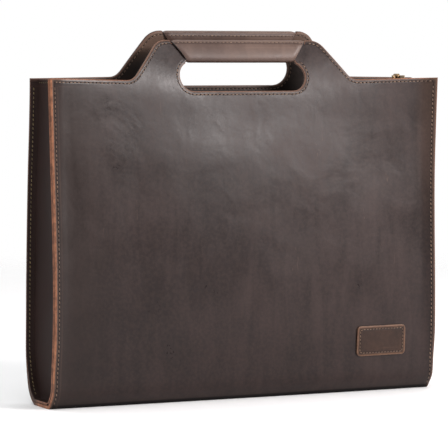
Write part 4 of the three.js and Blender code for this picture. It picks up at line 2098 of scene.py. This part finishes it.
@dataclass
class ZipSizes:
    """Sizes of the zip and its place in the mouth."""

    drop: float = 24
    length: float = 312
    facing_wall: float = 1.2
    facing_hem: float = 8
    facing_opening: float = 13
    tape_wall: float = 1
    tape_width: float = 24
    bend_radius: float = 14
    stand_up: float = 2
    gap: float = 0.3
    chain_width: float = 6
    chain_height: float = 2
    tooth_pitch: float = 2.1
    slider_width: float = 9
    slider_length: float = 12
    slider_height: float = 3.4
    slider_overhang: float = 1.5
    pull_width: float = 5
    pull_length: float = 18
    pull_wall: float = 1.4
    flat_points: int = 40
    turn_points: int = 13
    rise_points: int = 4

    @property
    def level(self) -> float:
        """The height of the facings' upper side."""
        return FORM.height - self.drop

    def line(self) -> np.ndarray:
        """The zip's line under the tape: x, y, z and the angle of its direction, from left to right."""
        under = self.level - self.facing_wall - self.gap - self.tape_wall
        start, bend = -self.length / 2, self.length / 2 + self.gap
        x = np.linspace(start, bend, self.flat_points)
        y = FORM.mouth_centre(x, self.level)
        flat = np.column_stack([x, y, np.full(len(x), under), np.zeros(len(x))])
        angle = np.linspace(0, math.pi / 2, self.turn_points + 1)[1:]
        turn = np.column_stack([
            bend + self.bend_radius * np.sin(angle),
            np.full(len(angle), y[-1]),
            under + self.bend_radius * (1 - np.cos(angle)),
            angle,
        ])
        end = turn[-1].copy()
        end[2] = FORM.height + self.stand_up
        rise = np.linspace(turn[-1], end, self.rise_points + 1)[1:]
        return np.vstack([flat, turn, rise])

    def at(self, station: np.ndarray, across: float, over: float) -> np.ndarray:
        """A point beside and over one station of the line."""
        x, y, z, angle = station
        return np.array([x - over * math.sin(angle), y + across, z + over * math.cos(angle)])


@dataclass
class ZipFacing:
    """A leather strip from a panel's inner face to the zip, with its hem turned down."""

    panel: Panel
    sizes: ZipSizes
    stations: int = 60
    fold: float = 0.8
    top_shares: tuple[float, ...] = (0.06, 0.5, 1.0)

    def build(self, finishes: Wardrobe) -> None:
        """Makes the piece.

        Args:
            finishes: The finishes.
        """
        sizes = self.sizes
        x = np.linspace(-sizes.length / 2, sizes.length / 2, self.stations)
        depth = FORM.wall + sizes.gap
        edge_y = FORM.mouth_centre(x, sizes.level) + self.panel.outward * sizes.facing_opening / 2
        lines = []
        for drop in (sizes.facing_hem, sizes.facing_hem / 2, self.fold):
            height = sizes.level - drop
            line, _ = FORM.place(x, FORM.flat(self.panel, np.full(len(x), height)), depth)
            line[:, 2] = height
            lines.append(line)
        corner, _ = FORM.place(x, FORM.flat(self.panel, np.full(len(x), sizes.level)), depth)
        for share in self.top_shares:
            line = corner.copy()
            line[:, 1] += (edge_y - corner[:, 1]) * share
            line[:, 2] = sizes.level
            lines.append(line)
        bm = sheet_of(lines)
        turn_outwards(bm, lambda face: face.normal.z)
        across, deep, _ = points_of(bm).T / MM
        mark_points(bm, EDGE_LAYER, np.abs(deep - np.interp(across, x, edge_y)))
        Wall(sizes.facing_wall, round_edge=0.3).thicken(bm)
        name = self.panel.name
        materials = [finishes.facing, finishes.dark_edge, finishes.shaded_lining]
        finish_piece(f"mouth_facing_{name}", bm, materials, [f"zip_facing_{name}"])


@dataclass
class ZipTape:
    """The woven tape, flat under the facings and turned up at its right end."""

    sizes: ZipSizes
    side_shares: tuple[float, ...] = (1, 0.6, 0.3)
    middle_half: float = 0.5

    def build(self, finishes: Wardrobe) -> None:
        """Makes the piece.

        Args:
            finishes: The finishes.
        """
        sizes = self.sizes
        stations = sizes.line()
        half = np.array([*(share * sizes.tape_width / 2 for share in self.side_shares), self.middle_half])
        across = np.concatenate([-half, half[::-1]])
        travel = travel_along(stations[:, :3])
        lines = [[sizes.at(station, side, sizes.tape_wall) for station in stations] for side in across]
        bm = sheet_of(lines)
        mark_points(bm, LENGTH_LAYER, np.repeat(travel, len(across)))
        mark_points(bm, ACROSS_LAYER, np.tile(across, len(travel)))
        turn_outwards(bm, lambda face: face.normal.z)
        Wall(sizes.tape_wall, round_edge=0.25).thicken(bm)
        finish_piece("woven_tape", bm, [finishes.tape] * 3, ["zip_tape"])


@dataclass
class ZipTeeth:
    """Interlocked metal teeth along the tape."""

    sizes: ZipSizes
    length: float = 0.82
    width_share: float = 0.66
    height_share: float = 0.96
    bevel: float = 0.14
    side_share: float = 0.17
    sharp_angle: float = 30

    def tooth(self) -> Stamp:
        """One bevelled tooth."""
        bm = bmesh.new()
        width = self.sizes.chain_width * self.width_share
        height = self.sizes.chain_height * self.height_share
        bmesh.ops.create_cube(bm, size=1, matrix=Matrix.Diagonal((self.length, width, height, 1.0)))
        round_edges(bm, bm.edges[:], self.bevel, segments=1)
        return Stamp(bm)

    def build(self, finishes: Wardrobe) -> None:
        """Makes the piece.

        Args:
            finishes: The finishes.
        """
        sizes = self.sizes
        stations = sizes.line()
        end = FORM.height + sizes.stand_up + sizes.slider_overhang - sizes.slider_length - sizes.gap
        travel = travel_along(stations[:, :3])
        last = travel[-1] - (stations[-1, 2] - end)
        places = np.arange(sizes.tooth_pitch / 2, last - sizes.tooth_pitch / 2, sizes.tooth_pitch / 2)
        low = sizes.tape_wall + sizes.gap
        tooth = self.tooth()
        for index, place in enumerate(places):
            station = np.array([np.interp(place, travel, stations[:, axis]) for axis in range(4)])
            side = 1 if index % 2 else -1
            off = side * sizes.chain_width * self.side_share
            centre = sizes.at(station, off, low + sizes.chain_height / 2)
            cos, sin = math.cos(station[3]), math.sin(station[3])
            tooth.press(centre, np.array([[cos, 0, sin], [0, 1, 0], [-sin, 0, cos]]))
        mesh = Stamp.mesh("zip_teeth", [tooth])
        finish_piece("zip_teeth", mesh, [finishes.metal], ["zip_chain"], self.sharp_angle)


@dataclass
class ZipSlider:
    """The slider at the zip's right end: two plates on a bridge and a wedge, and its pull."""

    sizes: ZipSizes
    foot_share: float = 0.7
    shoulder_share: float = 0.55
    foot_radius: float = 0.8
    shoulder_radius: float = 2
    head_radius: float = 1.6
    upper_depth: float = 1.2
    upper_wall: float = 1.1
    lower_wall: float = 0.9
    wedge_depth: float = 2.0
    wedge_wall: float = 0.8
    wedge_half: float = 1
    wedge_ends: Span = (7, 11)
    wedge_radius: float = 0.4
    bridge_wall: float = 1.4
    bridge_half: float = 1.2
    bridge_ends: Span = (2, 9)
    bridge_radius: float = 0.5
    pull_head_share: float = 0.75
    pull_radius: float = 1.5
    pull_head_radius: float = 1.2
    bend_limit: float = 1.0
    sharp_angle: float = 35

    def plate(self, outline: np.ndarray, low: float, wall: float, rounding: float) -> bmesh.types.BMesh:
        """A rounded plate in the YZ plane.

        Args:
            outline: Its closed line, Y and Z.
            low: X of its left face.
            wall: Its thickness.
            rounding: How much its edges are rounded.

        Returns:
            Its mesh in metres.
        """
        bm = bmesh.new()
        face = bm.faces.new([bm.verts.new((low * MM, y * MM, z * MM)) for y, z in outline])
        made = bmesh.ops.extrude_face_region(bm, geom=[face])
        moved = [item for item in made["geom"] if isinstance(item, bmesh.types.BMVert)]
        bmesh.ops.translate(bm, verts=moved, vec=(wall * MM, 0, 0))
        bmesh.ops.recalc_face_normals(bm, faces=bm.faces[:])
        rims = [edge for edge in bm.edges if edge.calc_face_angle(0) > self.bend_limit]
        round_edges(bm, rims, rounding * MM)
        return bm

    def outline(self, corners: Sequence[tuple[float, float, float]], steps: int) -> np.ndarray:
        """A closed line that is alike on both sides of the slider's middle.

        Args:
            corners: Half width, height and radius of its right corners, from the lowest up.
            steps: Points of each arc.

        Returns:
            The line's points, Y and Z.
        """
        _, middle, _, _ = self.sizes.line()[-1]
        right = [(middle + half, z, radius) for half, z, radius in corners]
        left = [(middle - half, z, radius) for half, z, radius in reversed(corners)]
        return rounded(right + left, closed=True, steps=steps)

    def build(self, finishes: Wardrobe) -> None:
        """Makes the slider and its pull.

        Args:
            finishes: The finishes.
        """
        sizes = self.sizes
        x, _, z, _ = sizes.line()[-1]
        half, length = sizes.slider_width / 2, sizes.slider_length
        foot = z + sizes.slider_overhang - length
        top_x = x - sizes.tape_wall - sizes.gap - sizes.slider_height
        corners = [
            (half * self.foot_share, foot, self.foot_radius),
            (half, foot + length * self.shoulder_share, self.shoulder_radius),
            (half, foot + length, self.head_radius),
        ]
        body = self.outline(corners, 4)
        corners = [(self.bridge_half, foot + end, self.bridge_radius) for end in self.bridge_ends]
        bridge = self.outline(corners, 3)
        corners = [(self.wedge_half, foot + end, self.wedge_radius) for end in self.wedge_ends]
        wedge = self.outline(corners, 3)
        lower_x = top_x + sizes.slider_height - self.lower_wall
        bm = self.plate(body, top_x + self.upper_depth, self.upper_wall, rounding=0.3)
        self.join(bm, self.plate(body, lower_x, self.lower_wall, rounding=0.25))
        self.join(bm, self.plate(bridge, top_x, self.bridge_wall, rounding=0.3))
        self.join(bm, self.plate(wedge, top_x + self.wedge_depth, self.wedge_wall, rounding=0.1))
        finish_piece("slider_body", bm, [finishes.metal], ["zip_slider"], self.sharp_angle)
        half = sizes.pull_width / 2
        corners = [
            (half, z - sizes.pull_length, self.pull_radius),
            (half * self.pull_head_share, z, self.pull_head_radius),
        ]
        tab = self.outline(corners, 4)
        pull = self.plate(tab, top_x - sizes.gap - sizes.pull_wall, sizes.pull_wall, rounding=0.35)
        finish_piece("pull_tab", pull, [finishes.metal], ["zip_pull"], self.sharp_angle)

    @staticmethod
    def join(bm: bmesh.types.BMesh, other: bmesh.types.BMesh) -> None:
        """Adds one mesh to another and frees it.

        Args:
            bm: The mesh that grows.
            other: The mesh that is added.
        """
        mesh = bpy.data.meshes.new("part")
        other.to_mesh(mesh)
        other.free()
        bm.from_mesh(mesh)
        bpy.data.meshes.remove(mesh)


# Studio


@dataclass(frozen=True)
class Lamp:
    """A soft rectangular light, placed by its direction as seen from the bag."""

    name: str
    azimuth: float
    elevation: float
    distance: float
    size: tuple[float, float]
    radiance: float
    tint: Colour = (1.0, 1.0, 1.0)

    def build(self, aim: Vector) -> None:
        """Adds the light.

        Args:
            aim: What it points at.
        """
        data = bpy.data.lights.new(self.name, "AREA")
        data.shape = "RECTANGLE"
        data.size, data.size_y = self.size
        data.energy = math.pi * self.size[0] * self.size[1] * self.radiance
        data.color = self.tint
        turn, rise = math.radians(self.azimuth), math.radians(self.elevation)
        way = Vector((math.sin(turn) * math.cos(rise), -math.cos(turn) * math.cos(rise), math.sin(rise)))
        lamp = bpy.data.objects.new(self.name, data)
        lamp.location = aim + way * self.distance
        lamp.rotation_euler = (-way).to_track_quat("-Z", "Y").to_euler()
        bpy.context.scene.collection.objects.link(lamp)


@dataclass
class Studio:
    """A white floor that fades into a white surround, soft lights and the camera."""

    camera_place: tuple[float, float, float] = (-1.0783, -2.2186, 0.3068)
    turn: float = -25.663
    pitch: float = -3.44
    lens: float = 215.59
    floor_size: float = 8.0
    floor_solid: float = 0.75
    floor_end: float = 1.9
    floor_colour: Colour = (0.94, 0.94, 0.945)
    front_dark: float = 0.22
    front_reach: Span = (0.35, -0.35)
    front_heights: Span = (0.0, 0.16)
    sensor: float = 36
    far_clip: float = 50
    aim_height: float = 0.15
    lamps: tuple[Lamp, ...] = (
        Lamp("key", 38.0, 22.5, 2.6, size=(1.0, 0.5), radiance=40.0, tint=(1.0, 0.94, 0.93)),
        Lamp("fill", -18.0, 46.0, 2.6, size=(2.4, 1.0), radiance=2.3),
        Lamp("overhead", 0.0, 84.0, 2.4, size=(2.2, 1.8), radiance=2.0),
    )

    def floor(self) -> None:
        """Adds the floor, which turns clear far from the bag."""
        bm = bmesh.new()
        bmesh.ops.create_grid(bm, x_segments=2, y_segments=2, size=self.floor_size / 2)
        mesh = bpy.data.meshes.new("floor")
        bm.to_mesh(mesh)
        bm.free()
        tree = MaterialTree("studio_floor")
        x, y = tree.axis("X"), tree.axis("Y")
        reach = (x * x + y * y).step(self.floor_end**2, self.floor_solid**2)
        values = {
            "Base Color": self.floor_colour,
            "Roughness": 0.8,
            "Specular IOR Level": 0.2,
            "Alpha": reach,
        }
        mesh.materials.append(tree.dress(values))
        floor = bpy.data.objects.new("floor", mesh)
        bpy.context.scene.collection.objects.link(floor)

    def surround(self) -> None:
        """Lights the scene from a white surround that is darker above and in front of the bag."""
        world = bpy.data.worlds.new("studio")
        tree = ShaderTree(world, "Generated")
        in_front = tree.axis("Y").step(*self.front_reach) * tree.axis("Z").step(*self.front_heights)
        strength = in_front * (self.front_dark - 1.0) + 1.0
        background = tree.nodes["Background"]
        tree.feed(background.inputs["Color"], (1.0, 1.0, 1.0))
        tree.feed(background.inputs["Strength"], strength)
        bpy.context.scene.world = world

    def camera(self) -> None:
        """Adds the camera at the photo's angle."""
        data = bpy.data.cameras.new("camera")
        data.lens = self.lens
        data.sensor_width = self.sensor
        data.clip_end = self.far_clip
        camera = bpy.data.objects.new("camera", data)
        camera.location = self.camera_place
        camera.rotation_euler = (math.radians(90 + self.pitch), 0, math.radians(self.turn))
        bpy.context.scene.collection.objects.link(camera)
        bpy.context.scene.camera = camera

    def build(self) -> None:
        """Sets up the studio."""
        self.floor()
        self.surround()
        self.camera()
        for lamp in self.lamps:
            lamp.build(Vector((0, 0, self.aim_height)))
        bpy.context.scene.view_settings.view_transform = "Standard"


def main() -> None:
    """Builds the bag, then the studio."""
    logging.basicConfig(level=logging.INFO, format="%(name)s %(message)s")
    finishes = Wardrobe()
    BodyWrap().build(finishes)
    for side in Side:
        GussetSkin(side).build(finishes)
        GussetHem(side).build(finishes)
    for panel in (FRONT, BACK):
        GripSleeve(panel).build(finishes)
        GripStitches(panel).build(finishes)
    LabelPatch().build(finishes)
    PatchStitches().build(finishes)
    BodyStitches().build(finishes)
    sizes = ZipSizes()
    for panel in (FRONT, BACK):
        ZipFacing(panel, sizes).build(finishes)
    ZipTape(sizes).build(finishes)
    ZipTeeth(sizes).build(finishes)
    ZipSlider(sizes).build(finishes)
    Studio().build()


if __name__ == "__main__":
    main()
